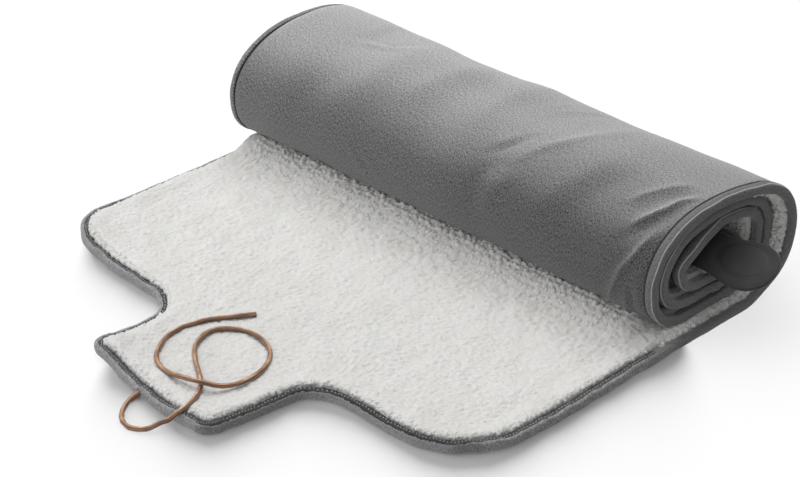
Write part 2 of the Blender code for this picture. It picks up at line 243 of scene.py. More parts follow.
def outline(step):
    """The whole outline, evenly spaced: (x, s), the inward direction and the
    length along it."""
    def arc(cx, cs, r, a0, a1, hollow=False, n=60):
        a = np.linspace(radians(a0), radians(a1), n)
        d = np.stack([np.cos(a), np.sin(a)], 1)
        return np.array([cx, cs]) + r * d, (d if hollow else -d)

    t, f, h = TONGUE_HALF_W, FILLET_R, HALF_W
    runs = [
        (np.array([[0.0, 0.0]]), np.array([[0.0, 1.0]])),
        arc(t - TONGUE_R, TONGUE_R, TONGUE_R, -90, 0),
        arc(t + f, S_SHOULDER - f, f, 180, 90, hollow=True),
        arc(h - SHOULDER_R, S_SHOULDER + SHOULDER_R, SHOULDER_R, -90, 0),
        arc(h - END_R, S_END - END_R, END_R, 0, 90),
        (np.array([[0.0, S_END]]), np.array([[0.0, -1.0]])),
    ]
    p = np.concatenate([q[0] for q in runs])
    n = np.concatenate([q[1] for q in runs])
    p = np.concatenate([p, p[-2::-1] * [-1, 1]])
    n = np.concatenate([n, n[-2::-1] * [-1, 1]])
    along = np.concatenate([[0], np.cumsum(np.hypot(*np.diff(p, axis=0).T))])
    count = int(round(along[-1] / step))
    u = np.linspace(0, along[-1], count, endpoint=False)
    q = np.stack([np.interp(u, along, p[:, k]) for k in (0, 1)], 1)
    m = np.stack([np.interp(u, along, n[:, k]) for k in (0, 1)], 1)
    m /= np.hypot(*m.T)[:, None]
    return q, m, u, along[-1]


# ------------------------------------------------------- how the flap lies
# How far the mat's edge lies inside its cut line, in mm, against the length along
# the outline from the middle of the tongue's front: to the right and to the left.
DRAWN_RIGHT = [(0, 5.5), (18, 3.5), (36, 1.5), (54, 2.5), (72, 6.0), (90, 6.0), (108, 2.0),
               (126, 0.0), (144, -1.5), (162, -4.5), (180, -3.9), (198, 0.5), (216, 1.2),
               (234, 1.0), (252, 0.3), (270, 1.2), (288, 2.6), (306, 3.3), (324, 4.5),
               (342, 4.8), (360, 4.6), (378, 4.0), (396, 3.5), (414, 3.1), (450, 3.1),
               (486, 4.0), (522, 4.2), (558, 4.7), (594, 4.3), (622, 4.4), (648, 4.3),
               (672, 3.0), (694, 2.3), (724, 1.8), (750, 2.5), (774, 1.0), (804, 0.0)]
DRAWN_LEFT = [(0, 5.5), (18, 8.5), (36, 11.0), (54, 13.5), (67, 14.0), (95, 10.0),
              (108, 10.0), (126, 9.7), (144, 9.6), (162, 7.5), (180, 3.0), (198, 2.6),
              (216, 3.5), (234, 4.1), (252, 5.9), (270, 8.5), (288, 9.5), (306, 8.3),
              (324, 7.0), (342, 5.8), (360, 5.0), (378, 5.3), (396, 5.2), (432, 4.5),
              (468, 4.7), (504, 4.8), (540, 4.0), (558, 2.5), (600, 0.0)]


def edge_value(right, left, u, total):
    """A value given along the outline to both sides, at lengths u."""
    r, l = np.array(right, float), np.array(left, float)
    a = np.interp(u * 1000, r[:, 0], r[:, 1])
    b = np.interp((total - u) * 1000, l[:, 0], l[:, 1])
    return np.where(u < total / 2, a, b)


KNOT_P, KNOT_N, KNOT_U, OUTLINE_LEN = outline(0.006)
_k = edge_value(DRAWN_RIGHT, DRAWN_LEFT, KNOT_U, OUTLINE_LEN) / 1000
# round the tongue's corners the cloth is shifted whole, so that they stay round
for _side, (_kx, _ks) in ((1, (4.0, 3.5)), (-1, (10.0, 14.0))):
    _u = (KNOT_U if _side > 0 else OUTLINE_LEN - KNOT_U) * 1000
    _mine = KNOT_P[:, 0] * _side > 0
    _fx = np.where(_u < 67, ease((_u - 25) / 42), 1.0)
    _fs = np.where(_u > 95, 1 - ease((_u - 95) / 30), 1.0)
    _arc = _mine & (_u >= 67) & (_u <= 95)
    _dx = np.where(_arc, -_side * _kx, KNOT_N[:, 0] * _k * 1000)
    _ds = np.where(_arc, _ks, KNOT_N[:, 1] * _k * 1000)
    _dx = np.where(_mine & (_u < 67), -_side * _kx * _fx, _dx)
    _ds = np.where(_mine & (_u > 95) & (_u < 125), _ks * _fs, _ds)
    KNOT_NX = _dx if _side > 0 else np.where(_mine, _dx, KNOT_NX)
    KNOT_NS = _ds if _side > 0 else np.where(_mine, _ds, KNOT_NS)
_s = KNOT_P[:, 1] < 0.66
KNOT_P, KNOT_D = KNOT_P[_s], (np.stack([KNOT_NX, KNOT_NS], 1) / 1000)[_s]


def settle(x, s):
    """Flat points moved to where the edge of the flap really lies."""
    i = inset(x, s)
    near = (i < 0.066) & (s < 0.64)
    if not near.any():
        return x, s
    px, ps = x[near], s[near]
    fall = 1 - ease((i[near] - 0.012) / 0.054)
    dx, ds = np.empty_like(px), np.empty_like(ps)
    for k in range(0, len(px), 20000):
        c = slice(k, k + 20000)
        d2 = ((px[c, None] - KNOT_P[None, :, 0]) ** 2
              + (ps[c, None] - KNOT_P[None, :, 1]) ** 2 + 0.000016)
        w = d2 ** -2.5
        w /= w.sum(1)[:, None]
        dx[c], ds[c] = w @ KNOT_D[:, 0], w @ KNOT_D[:, 1]
    x, s = x.copy(), s.copy()
    x[near] += dx * fall
    s[near] += ds * fall
    return x, s


LIFTED = [
    # x       s      reach   rise: places where the flap stands off the floor
    (-0.088, -0.004, 0.095, 0.0062),
    (-0.245, 0.118, 0.110, 0.0030),
    (0.235, 0.125, 0.085, 0.0012),
    (0.050, -0.002, 0.040, 0.0010),
]


def lift(x, s):
    """Height added to every layer of the flap: its edge rides on the tape, and
    a few places stand up a little."""
    x, s = np.broadcast_arrays(np.asarray(x, float), np.asarray(s, float))
    on_floor = 1 - ease((s - S_FLOOR + 0.02) / 0.05)
    up = 0.0009 * (1 - ease((inset(x, s) - 0.010) / 0.030)) * on_floor
    for cx, cs, reach, rise in LIFTED:
        up = up + rise * ease(1 - np.hypot(x - cx, s - cs) / reach) ** 1.3
    return up


# How high the edge tape stands, as a share, along the outline to both sides.
RISE_RIGHT = [(0, 0.95), (60, 0.95), (90, 1.0), (3000, 1.0)]
RISE_LEFT = [(0, 0.95), (60, 0.88), (84, 0.80), (110, 0.66), (160, 0.66), (190, 0.85),
             (215, 1.0), (300, 1.0), (330, 0.80), (370, 0.62), (420, 0.50), (480, 0.40),
             (600, 0.38), (650, 0.60), (700, 1.0), (3000, 1.0)]
rng = np.random.default_rng(20240611)


def waves(count, shortest, longest, height, angle=None, spread=pi):
    """A soft random relief: plane waves, as rows of direction, number, phase and
    height."""
    out = []
    for _ in range(count):
        length = shortest * (longest / shortest) ** rng.random()
        th = (angle if angle is not None else 0.0) + spread * (rng.random() - 0.5)
        out.append((cos(th), sin(th), 2 * pi / length, 2 * pi * rng.random(),
                    height * (0.5 + rng.random()) * (length / longest) ** 0.7))
    return out


def relief(table, x, s):
    total = 0.0
    for cx, cs, k, ph, hh in table:
        total = total + hh * np.sin((x * cx + s * cs) * k + ph)
    return total


# ------------------------------------------------------------- mesh building
def new_mesh(name, verts, faces, mat, flat=None, smooth=True):
    me = bpy.data.meshes.new(name)
    me.from_pydata(np.asarray(verts, float).tolist(), [], faces)
    me.materials.append(mat)
    if smooth:
        me.shade_smooth()
    if flat is not None:
        at = me.attributes.new("flat", "FLOAT_VECTOR", "POINT")
        at.data.foreach_set("vector", np.ascontiguousarray(flat, np.float32).ravel())
    me.update()
    ob = bpy.data.objects.new(name, me)
    bpy.context.scene.collection.objects.link(ob)
    return ob


def grid_quads(rows, cols):
    i, j = np.meshgrid(np.arange(rows - 1), np.arange(cols - 1), indexing="ij")
    a = i * cols + j
    return np.stack([a, a + 1, a + cols + 1, a + cols], -1).reshape(-1, 4)


def boundary(quads):
    """Directed edges that only one face uses."""
    e = np.concatenate([quads[:, [0, 1]], quads[:, [1, 2]], quads[:, [2, 3]],
                        quads[:, [3, 0]]])
    n = int(e.max()) + 1
    key, rev = e[:, 0] * n + e[:, 1], e[:, 1] * n + e[:, 0]
    return e[~np.isin(key, rev)]


def trimmed(xs, ss, lo):
    """Flat points and quads of a grid cut along the line that is lo inside the
    outline; its border points lie on that line."""
    X, SS = np.meshgrid(xs, ss)
    rows, cols = X.shape
    q = grid_quads(rows, cols)
    x, s = X.ravel(), SS.ravel()
    mid = inset(x[q].mean(1), s[q].mean(1)) >= lo
    q = q[mid]
    used, q = np.unique(q, return_inverse=True)
    q = q.reshape(-1, 4)
    x, s = x[used].copy(), s[used].copy()
    edge = np.unique(boundary(q))
    ends = (s[edge] > ss[0] + 1e-9) & (s[edge] < ss[-1] - 1e-9)
    for _ in range(3):
        b = edge[ends]
        d = 1e-5
        i0 = inset(x[b], s[b])
        gx = (inset(x[b] + d, s[b]) - inset(x[b] - d, s[b])) / (2 * d)
        gs = (inset(x[b], s[b] + d) - inset(x[b], s[b] - d)) / (2 * d)
        g2 = np.maximum(gx ** 2 + gs ** 2, 0.25)
        x[b] += (lo - i0) * gx / g2
        s[b] += (lo - i0) * gs / g2
        b = edge[~ends]               # first and last row: only x moves
        i0 = inset(x[b], s[b])
        side = np.abs(i0 - lo) < 0.004
        x[b] += np.where(side, (i0 - lo) * np.sign(x[b]), 0.0)
    return x, s, q


def spans(*parts):
    """Ascending values: each part is (start, end, step)."""
    out = []
    for a0, a1, st in parts:
        n = max(1, int(round((a1 - a0) / st)))
        out += list(np.linspace(a0, a1, n, endpoint=False))
    out.append(parts[-1][1])
    return np.array(out)


# ------------------------------------------------------------------ materials
def nodes_of(name):
    m = bpy.data.materials.new(name)
    m.use_nodes = True
    nt = m.node_tree
    return m, nt, nt.nodes["Principled BSDF"], nt.nodes["Material Output"]


def add(nt, kind, **props):
    n = nt.nodes.new(kind)
    for k, v in props.items():
        if k.startswith("in_"):
            n.inputs[k[3:].replace("_", " ")].default_value = v
        else:
            setattr(n, k, v)
    return n


def scaled(nt, source, scale):
    n = add(nt, "ShaderNodeVectorMath", operation="MULTIPLY")
    nt.links.new(source, n.inputs[0])
    n.inputs[1].default_value = scale
    return n.outputs[0]


def noise(nt, vec, scale, detail=2.0, rough=0.5, distort=0.0):
    n = add(nt, "ShaderNodeTexNoise", in_Scale=scale, in_Detail=detail,
            in_Roughness=rough, in_Distortion=distort)
    nt.links.new(vec, n.inputs["Vector"])
    return n.outputs["Fac"]


def ramp(nt, fac, stops):
    n = add(nt, "ShaderNodeValToRGB")
    el = n.color_ramp.elements
    while len(el) < len(stops):
        el.new(0.5)
    for e_, (pos, col) in zip(el, stops):
        e_.position = pos
        e_.color = (*col, 1.0)
    nt.links.new(fac, n.inputs["Fac"])
    return n.outputs["Color"]


def mix(nt, kind, fac, c0, c1):
    n = add(nt, "ShaderNodeMix", data_type="RGBA", blend_type=kind)
    for sock, val in ((n.inputs[0], fac), (n.inputs[6], c0), (n.inputs[7], c1)):
        if isinstance(val, bpy.types.NodeSocket):
            nt.links.new(val, sock)
        elif isinstance(val, (int, float)):
            sock.default_value = val
        else:
            sock.default_value = (*val, 1.0)
    return n.outputs[2]


def math(nt, op, a0, b0=0.0):
    n = add(nt, "ShaderNodeMath", operation=op)
    for sock, val in ((n.inputs[0], a0), (n.inputs[1], b0)):
        if isinstance(val, bpy.types.NodeSocket):
            nt.links.new(val, sock)
        else:
            sock.default_value = val
    return n.outputs[0]


def bump(nt, height, distance, strength=1.0, onto=None):
    n = add(nt, "ShaderNodeBump", in_Distance=distance, in_Strength=strength)
    nt.links.new(height, n.inputs["Height"])
    if onto is not None:
        nt.links.new(onto, n.inputs["Normal"])
    return n.outputs["Normal"]


def flat_coords(nt):
    return add(nt, "ShaderNodeAttribute", attribute_name="flat").outputs["Vector"]


def weave(nt, vec, pitch, diagonal=0.0):
    """Over and under of a plain or twill weave, 0 to 1, from flat coordinates."""
    k = 2 * pi / (20 * pitch)
    one = add(nt, "ShaderNodeTexWave", wave_type="BANDS", bands_direction="X",
              wave_profile="SIN", in_Scale=k, in_Distortion=1.2, in_Detail=1.0,
              in_Detail_Scale=0.4)
    two = add(nt, "ShaderNodeTexWave", wave_type="BANDS", bands_direction="Y",
              wave_profile="SIN", in_Scale=k, in_Distortion=1.2, in_Detail=1.0,
              in_Detail_Scale=0.4)
    nt.links.new(vec, one.inputs["Vector"])
    nt.links.new(vec, two.inputs["Vector"])
    both = math(nt, "MULTIPLY", one.outputs["Fac"], two.outputs["Fac"])
    if diagonal:
        dia = add(nt, "ShaderNodeTexWave", wave_type="BANDS",
                  bands_direction="DIAGONAL", wave_profile="SIN", in_Scale=k * 0.7,
                  in_Distortion=0.8, in_Detail=1.0)
        nt.links.new(vec, dia.inputs["Vector"])
        both = math(nt, "ADD", both, math(nt, "MULTIPLY", dia.outputs["Fac"], diagonal))
    return both


def cotton_material(name, dark, light, pitch=0.0007, sheen=0.25, lips=None, fold=0.0):
    m, nt, p, _ = nodes_of(name)
    v = flat_coords(nt)
    warp = noise(nt, scaled(nt, v, (1350.0, 430.0, 1.0)), 1.0, 0.0)
    weft = noise(nt, scaled(nt, v, (560.0, 1350.0, 1.0)), 1.0, 0.0)
    speck = noise(nt, scaled(nt, v, (1450.0, 1450.0, 1.0)), 1.0, 0.0)
    heather = math(nt, "ADD", math(nt, "MULTIPLY", warp, 0.36),
                   math(nt, "ADD", math(nt, "MULTIPLY", weft, 0.26),
                        math(nt, "MULTIPLY", speck, 0.38)))
    cloud = noise(nt, scaled(nt, v, (9.0, 9.0, 1.0)), 1.0, 2.0, 0.5)
    col = ramp(nt, heather, [(0.38, dark), (0.62, light)] if not lips else
               [(0.32, dark), (0.68, light)])
    if not lips:                                     # painted shade: a little lighter at the far end and darker towards the near end, where less light falls
        along = add(nt, "ShaderNodeSeparateXYZ")
        nt.links.new(v, along.inputs[0])
        end = math(nt, "ADD", math(nt, "MULTIPLY", along.outputs["X"], 2.0), 0.5)
        col = mix(nt, "MULTIPLY", 1.0, col,
                  ramp(nt, end, [(0.0, (1.04, 1.04, 1.04)), (1.0, (0.62, 0.62, 0.62))]))
    col = mix(nt, "MULTIPLY", 0.25, col,
              ramp(nt, cloud, [(0.30, (0.78, 0.78, 0.78)), (0.75, (1.0, 1.0, 1.0))]))
    if lips:
        girth = add(nt, "ShaderNodeSeparateXYZ")
        nt.links.new(v, girth.inputs[0])
        low = math(nt, "LESS_THAN", girth.outputs["Y"], lips[0])
        zone = math(nt, "MAXIMUM", girth.outputs["Z"], 0.0)
        # painted shade: on the roll the tape is painted darker, half as much at the far end as at the near end,
        # where less light falls; on the flap a little lighter
        end_shade = math(nt, "MAXIMUM", math(nt, "MULTIPLY", girth.outputs["Z"], -1.0), 0.0)
        col = mix(nt, "MULTIPLY", 1.0, col,
                  ramp(nt, end_shade, [(0.0, (1.06, 1.06, 1.06)), (0.5, (0.88, 0.88, 0.88)),
                                  (1.0, (0.56, 0.56, 0.56))]))
        # painted light: the tape a fifth lighter where the painted dark band is narrow, on the left half of the flap
        # towards the light, and on the roll
        col = mix(nt, "MULTIPLY", 1.0, col,
                  ramp(nt, zone, [(0.25, (1.20, 1.20, 1.20)), (0.9, (1.0, 1.0, 1.0))]))
        # painted shade: on the flap the tape's top next to the fleece is painted near black, where the higher pile
        # shades it; wider and darker along the tongue's right side and the front on its right
        high = math(nt, "GREATER_THAN", girth.outputs["Y"],
                    math(nt, "ADD", math(nt, "SUBTRACT", lips[1] + 0.0022,
                                         math(nt, "MULTIPLY", zone, 0.0032)),
                         math(nt, "MULTIPLY", noise(nt, scaled(nt, v, (170.0, 0.0, 0.0)), 1.0, 2.0),
                              0.0034)))
        # painted shade: the tape's lip on the cotton side painted near black, for the shadow in the recess where the
        # tape meets the cotton
        col = mix(nt, "MIX", low, col, (0.028, 0.028, 0.029))
        high = math(nt, "MULTIPLY", high, math(nt, "GREATER_THAN", girth.outputs["Z"], 0.05))
        col = mix(nt, "MIX", high, col,
                  ramp(nt, zone, [(0.2, (0.078, 0.078, 0.080)), (0.9, (0.026, 0.026, 0.027))]))
        # painted highlight: a light line added along the tape's fold on the cotton side, stronger on the roll's ends
        # and most at the near end
        off = math(nt, "ABSOLUTE", math(nt, "SUBTRACT", girth.outputs["Y"], fold))
        fold_highlight = ramp(nt, math(nt, "MULTIPLY", off, 1000.0),
                    [(0.0, (0.50, 0.50, 0.50)), (0.75, (0.0, 0.0, 0.0))])
        col = mix(nt, "ADD", math(nt, "ADD", 0.35, math(nt, "MULTIPLY", 0.55, end_shade)), col, fold_highlight)
    wv = weave(nt, v, pitch, diagonal=0.5)
    col = mix(nt, "MULTIPLY", 0.5, col,
              ramp(nt, wv, [(0.0, (0.74, 0.74, 0.74)), (0.8, (1.0, 1.0, 1.0))]))
    nt.links.new(col, p.inputs["Base Color"])
    height = math(nt, "ADD", wv, math(nt, "MULTIPLY", heather, 1.6))
    nt.links.new(bump(nt, height, 0.00022), p.inputs["Normal"])
    p.inputs["Roughness"].default_value = 0.86
    p.inputs["Specular IOR Level"].default_value = 0.22
    p.inputs["Sheen Weight"].default_value = sheen
    p.inputs["Sheen Roughness"].default_value = 0.40
    p.inputs["Sheen Tint"].default_value = (0.90, 0.905, 0.92, 1.0)
    return m


def fleece_material():
    m, nt, p, _ = nodes_of("fleece_white")
    v = flat_coords(nt)
    big = noise(nt, scaled(nt, v, (28.0, 28.0, 28.0)), 1.0, 3.0, 0.5)
    tuft = noise(nt, scaled(nt, v, (420.0, 420.0, 420.0)), 1.0, 3.0, 0.6, 0.6)
    hair = noise(nt, scaled(nt, v, (1500.0, 1500.0, 1500.0)), 1.0, 3.0, 0.7, 1.2)
    col = ramp(nt, big, [(0.25, (0.845, 0.834, 0.810)), (0.75, (0.900, 0.892, 0.873))])
    along = add(nt, "ShaderNodeSeparateXYZ")
    nt.links.new(v, along.inputs[0])
    end = math(nt, "ADD", math(nt, "MULTIPLY", along.outputs["X"], 2.0), 0.5)
    # painted shade: the pile a little darker towards the +X side, the mat's near end, where less light falls
    col = mix(nt, "MULTIPLY", 1.0, col,
              ramp(nt, end, [(0.10, (1.0, 1.0, 1.0)), (0.62, (0.935, 0.935, 0.935))]))
    col = mix(nt, "MULTIPLY", 0.6, col,
              ramp(nt, tuft, [(0.25, (0.86, 0.855, 0.84)), (0.65, (1.0, 1.0, 1.0))]))
    nt.links.new(col, p.inputs["Base Color"])
    curl = add(nt, "ShaderNodeTexVoronoi", feature="SMOOTH_F1", in_Scale=1.0)
    curl.inputs["Smoothness"].default_value = 0.6
    bent = mix(nt, "ADD", 1.0, scaled(nt, v, (620.0, 620.0, 620.0)),
               mix(nt, "MULTIPLY", 1.0, (1.6, 1.6, 1.6),
                   ramp(nt, tuft, [(0.0, (0, 0, 0)), (1.0, (1, 0.7, 0.4))])))
    nt.links.new(bent, curl.inputs["Vector"])
    n1 = bump(nt, curl.outputs["Distance"], 0.0008, 0.75)
    n2 = bump(nt, hair, 0.00045, 0.9, onto=n1)
    nt.links.new(n2, p.inputs["Normal"])
    p.inputs["Roughness"].default_value = 0.95
    p.inputs["Specular IOR Level"].default_value = 0.10
    p.inputs["Sheen Weight"].default_value = 0.35
    p.inputs["Sheen Roughness"].default_value = 0.6
    p.inputs["Subsurface Weight"].default_value = 0.25
    p.inputs["Subsurface Radius"].default_value = (1.0, 0.95, 0.9)
    p.inputs["Subsurface Scale"].default_value = 0.0016
    return m


def thread_material(name, col):
    m, nt, p, _ = nodes_of(name)
    v = add(nt, "ShaderNodeTexCoord").outputs["Object"]
    n = noise(nt, v, 2600.0, 2.0)
    c = ramp(nt, n, [(0.3, tuple(0.7 * x for x in col)), (0.7, col)])
    nt.links.new(c, p.inputs["Base Color"])
    nt.links.new(bump(nt, n, 0.0001), p.inputs["Normal"])
    p.inputs["Roughness"].default_value = 0.7
    return m


def leather_material():
    m, nt, p, _ = nodes_of("lace_tan")
    v = flat_coords(nt)                       # x along the lace, y round it
    streak = noise(nt, scaled(nt, v, (60.0, 2.2, 1.0)), 1.0, 3.0, 0.6)
    grain = noise(nt, scaled(nt, v, (900.0, 7.0, 1.0)), 1.0, 3.0, 0.6, 0.8)
    col = ramp(nt, streak, [(0.34, (0.17, 0.080, 0.039)), (0.50, (0.38, 0.200, 0.105)),
                            (0.64, (0.68, 0.440, 0.280))])
    col = mix(nt, "MULTIPLY", 0.5, col,
              ramp(nt, grain, [(0.3, (0.72, 0.70, 0.68)), (0.7, (1.0, 1.0, 1.0))]))
    nt.links.new(bump(nt, grain, 0.00022), p.inputs["Normal"])
    turn = add(nt, "ShaderNodeSeparateXYZ")
    nt.links.new(v, turn.inputs[0])
    painted_light_round = math(nt, "ADD", math(nt, "MULTIPLY", turn.outputs["Y"], 0.5), 0.5)
    # painted highlight and shade: a bright line along the lace's top, dark bands beside it and a dark underside,
    # multiplied into the leather's colour
    col = mix(nt, "MULTIPLY", 1.0, col,
              ramp(nt, painted_light_round, [(0.35, (0.34, 0.30, 0.27)), (0.62, (0.86, 0.80, 0.74)),
                               (0.80, (0.46, 0.42, 0.40)), (0.90, (0.62, 0.59, 0.57)),
                               (0.98, (1.30, 1.27, 1.24))]))
    nt.links.new(col, p.inputs["Base Color"])
    rough = ramp(nt, grain, [(0.2, (0.30, 0.30, 0.30)), (0.8, (0.46, 0.46, 0.46))])
    nt.links.new(rough, p.inputs["Roughness"])
    p.inputs["Specular IOR Level"].default_value = 0.60
    p.inputs["Sheen Weight"].default_value = 0.15
    p.inputs["Sheen Tint"].default_value = (1.0, 0.85, 0.72, 1.0)
    return m


def patch_material(name, dark, light, rough, grain_height, sheen=0.0):
    m, nt, p, _ = nodes_of(name)
    v = add(nt, "ShaderNodeTexCoord").outputs["Object"]
    cloud = noise(nt, v, 60.0, 2.0)
    grain = noise(nt, v, 1900.0, 3.0, 0.6)
    col = ramp(nt, cloud, [(0.3, dark), (0.7, light)])
    col = mix(nt, "MULTIPLY", 0.5, col,
              ramp(nt, grain, [(0.3, (0.75, 0.75, 0.75)), (0.7, (1.0, 1.0, 1.0))]))
    nt.links.new(col, p.inputs["Base Color"])
    nt.links.new(bump(nt, grain, grain_height), p.inputs["Normal"])
    p.inputs["Roughness"].default_value = rough
    p.inputs["Specular IOR Level"].default_value = 0.35
    p.inputs["Sheen Weight"].default_value = sheen
    return m


COTTON = cotton_material("cotton_grey", (0.046, 0.0463, 0.0472), (0.332, 0.333, 0.336),
                         sheen=0.42)
TAPE = cotton_material("tape_grey", (0.115, 0.1155, 0.117), (0.450, 0.451, 0.454),
                       pitch=0.0008, sheen=0.35, lips=(0.0032, 0.0190), fold=0.0109)
FLEECE = fleece_material()
THREAD_DARK = thread_material("thread_dark", (0.055, 0.055, 0.057))
THREAD_LIGHT = thread_material("thread_light", (0.56, 0.56, 0.56))
LEATHER = leather_material()
TAB_BLACK = patch_material("tab_black", (0.022, 0.022, 0.024), (0.034, 0.034, 0.036),
                           0.74, 0.0002, sheen=0.25)
BUTTON_BLACK = patch_material("button_black", (0.029, 0.029, 0.031),
                              (0.037, 0.037, 0.039), 0.62, 0.00005)


# ----------------------------------------------------------------- tie lace
def smooth_route(points, step):
    """Evenly spaced points along a Catmull-Rom curve through the route."""
    p = [Vector(q) for q in points]
    p = [2 * p[0] - p[1]] + p + [2 * p[-1] - p[-2]]
    fine = []
    for i in range(1, len(p) - 2):
        for k in range(24):
            t = k / 24
            a0, b0, c0, d0 = p[i - 1], p[i], p[i + 1], p[i + 2]
            fine.append(0.5 * ((2 * b0) + (c0 - a0) * t
                               + (2 * a0 - 5 * b0 + 4 * c0 - d0) * t * t
                               + (3 * b0 - a0 - 3 * c0 + d0) * t ** 3))
    fine.append(p[-2])
    f = np.array([list(v) for v in fine])
    along = np.concatenate([[0], np.cumsum(np.linalg.norm(np.diff(f, axis=0), axis=1))])
    n = max(2, int(round(along[-1] / step)))
    u = np.linspace(0, along[-1], n + 1)
    return np.stack([np.interp(u, along, f[:, k]) for k in range(3)], 1), along[-1]


def tube(path, radius, sides, twist=0.0):
    """Rings round a path, carried along it without turning."""
    t = np.gradient(path, axis=0)
    t /= np.linalg.norm(t, axis=1)[:, None]
    side = np.cross(t[0], [0, 0, 1.0])
    side /= np.linalg.norm(side)
    out, ang = [], np.linspace(0, 2 * pi, sides, endpoint=False)
    for i, q in enumerate(path):
        side = side - t[i] * side.dot(t[i])
        side /= np.linalg.norm(side)
        up = np.cross(side, t[i])
        a0 = ang + twist * i
        r = radius[i] if np.ndim(radius) else radius
        out.append(q + r * (np.cos(a0)[:, None] * side + np.sin(a0)[:, None] * up))
    return np.array(out)


def tie_lace():
    level = {"floor": LACE_FLOOR, "pile": LACE_PILE}
    route = [(MAT_X + x, FRAME_Y + y, level[on] + rise) for x, y, rise, on in LACE_ROUTE]
    route = [(MAT_X - 0.0012, FRAME_Y - 0.3085, LACE_FLOOR + 0.0012)] + route
    pts, total = smooth_route(route, 0.0012)
    n, sides = len(pts), 14
    u = np.linspace(0, total, n)
    r = LACE_D / 2 * (1.0 + 0.045 * np.sin(u * 310 + 0.6) * np.sin(u * 97)
                      + 0.03 * np.sin(u * 803))
    r *= 1 + 0.30 * np.exp(-(u / 0.010) ** 2)          # thicker where it is sewn
    rings = tube(pts, r, sides)
    end_dir = (pts[-1] - pts[-2]) / np.linalg.norm(pts[-1] - pts[-2])
    start_dir = (pts[0] - pts[1]) / np.linalg.norm(pts[0] - pts[1])
    caps = []                                          # a slightly rounded cut
    for k, (share, out) in enumerate([(0.90, 0.00035), (0.55, 0.00050)]):
        caps.append(pts[-1] + (rings[-1] - pts[-1]) * share + end_dir * out)
    head = pts[0] + (rings[0] - pts[0]) * 0.7 + start_dir * 0.0008
    allr = np.concatenate([head[None], rings, np.array(caps)])
    m = len(allr)
    verts = allr.reshape(-1, 3)
    quads = []
    for i in range(m - 1):
        for k in range(sides):
            k2 = (k + 1) % sides
            quads.append((i * sides + k, i * sides + k2, (i + 1) * sides + k2,
                          (i + 1) * sides + k))
    quads.append(tuple(reversed(range(sides))))
    quads.append(tuple((m - 1) * sides + k for k in range(sides)))
    uu = np.concatenate([[0.0], u, [total, total]])
    flat = np.zeros((m, sides, 3))
    flat[..., 0] = uu[:, None]
    flat[..., 1] = np.sin(np.linspace(0, 2 * pi, sides, endpoint=False))[None, :]
    ob = new_mesh("lace", verts, quads, LEATHER, flat.reshape(-1, 3))
    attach(ob, "root")
    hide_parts("tie_cord")
    return ob, pts


lace, lace_path = tie_lace()


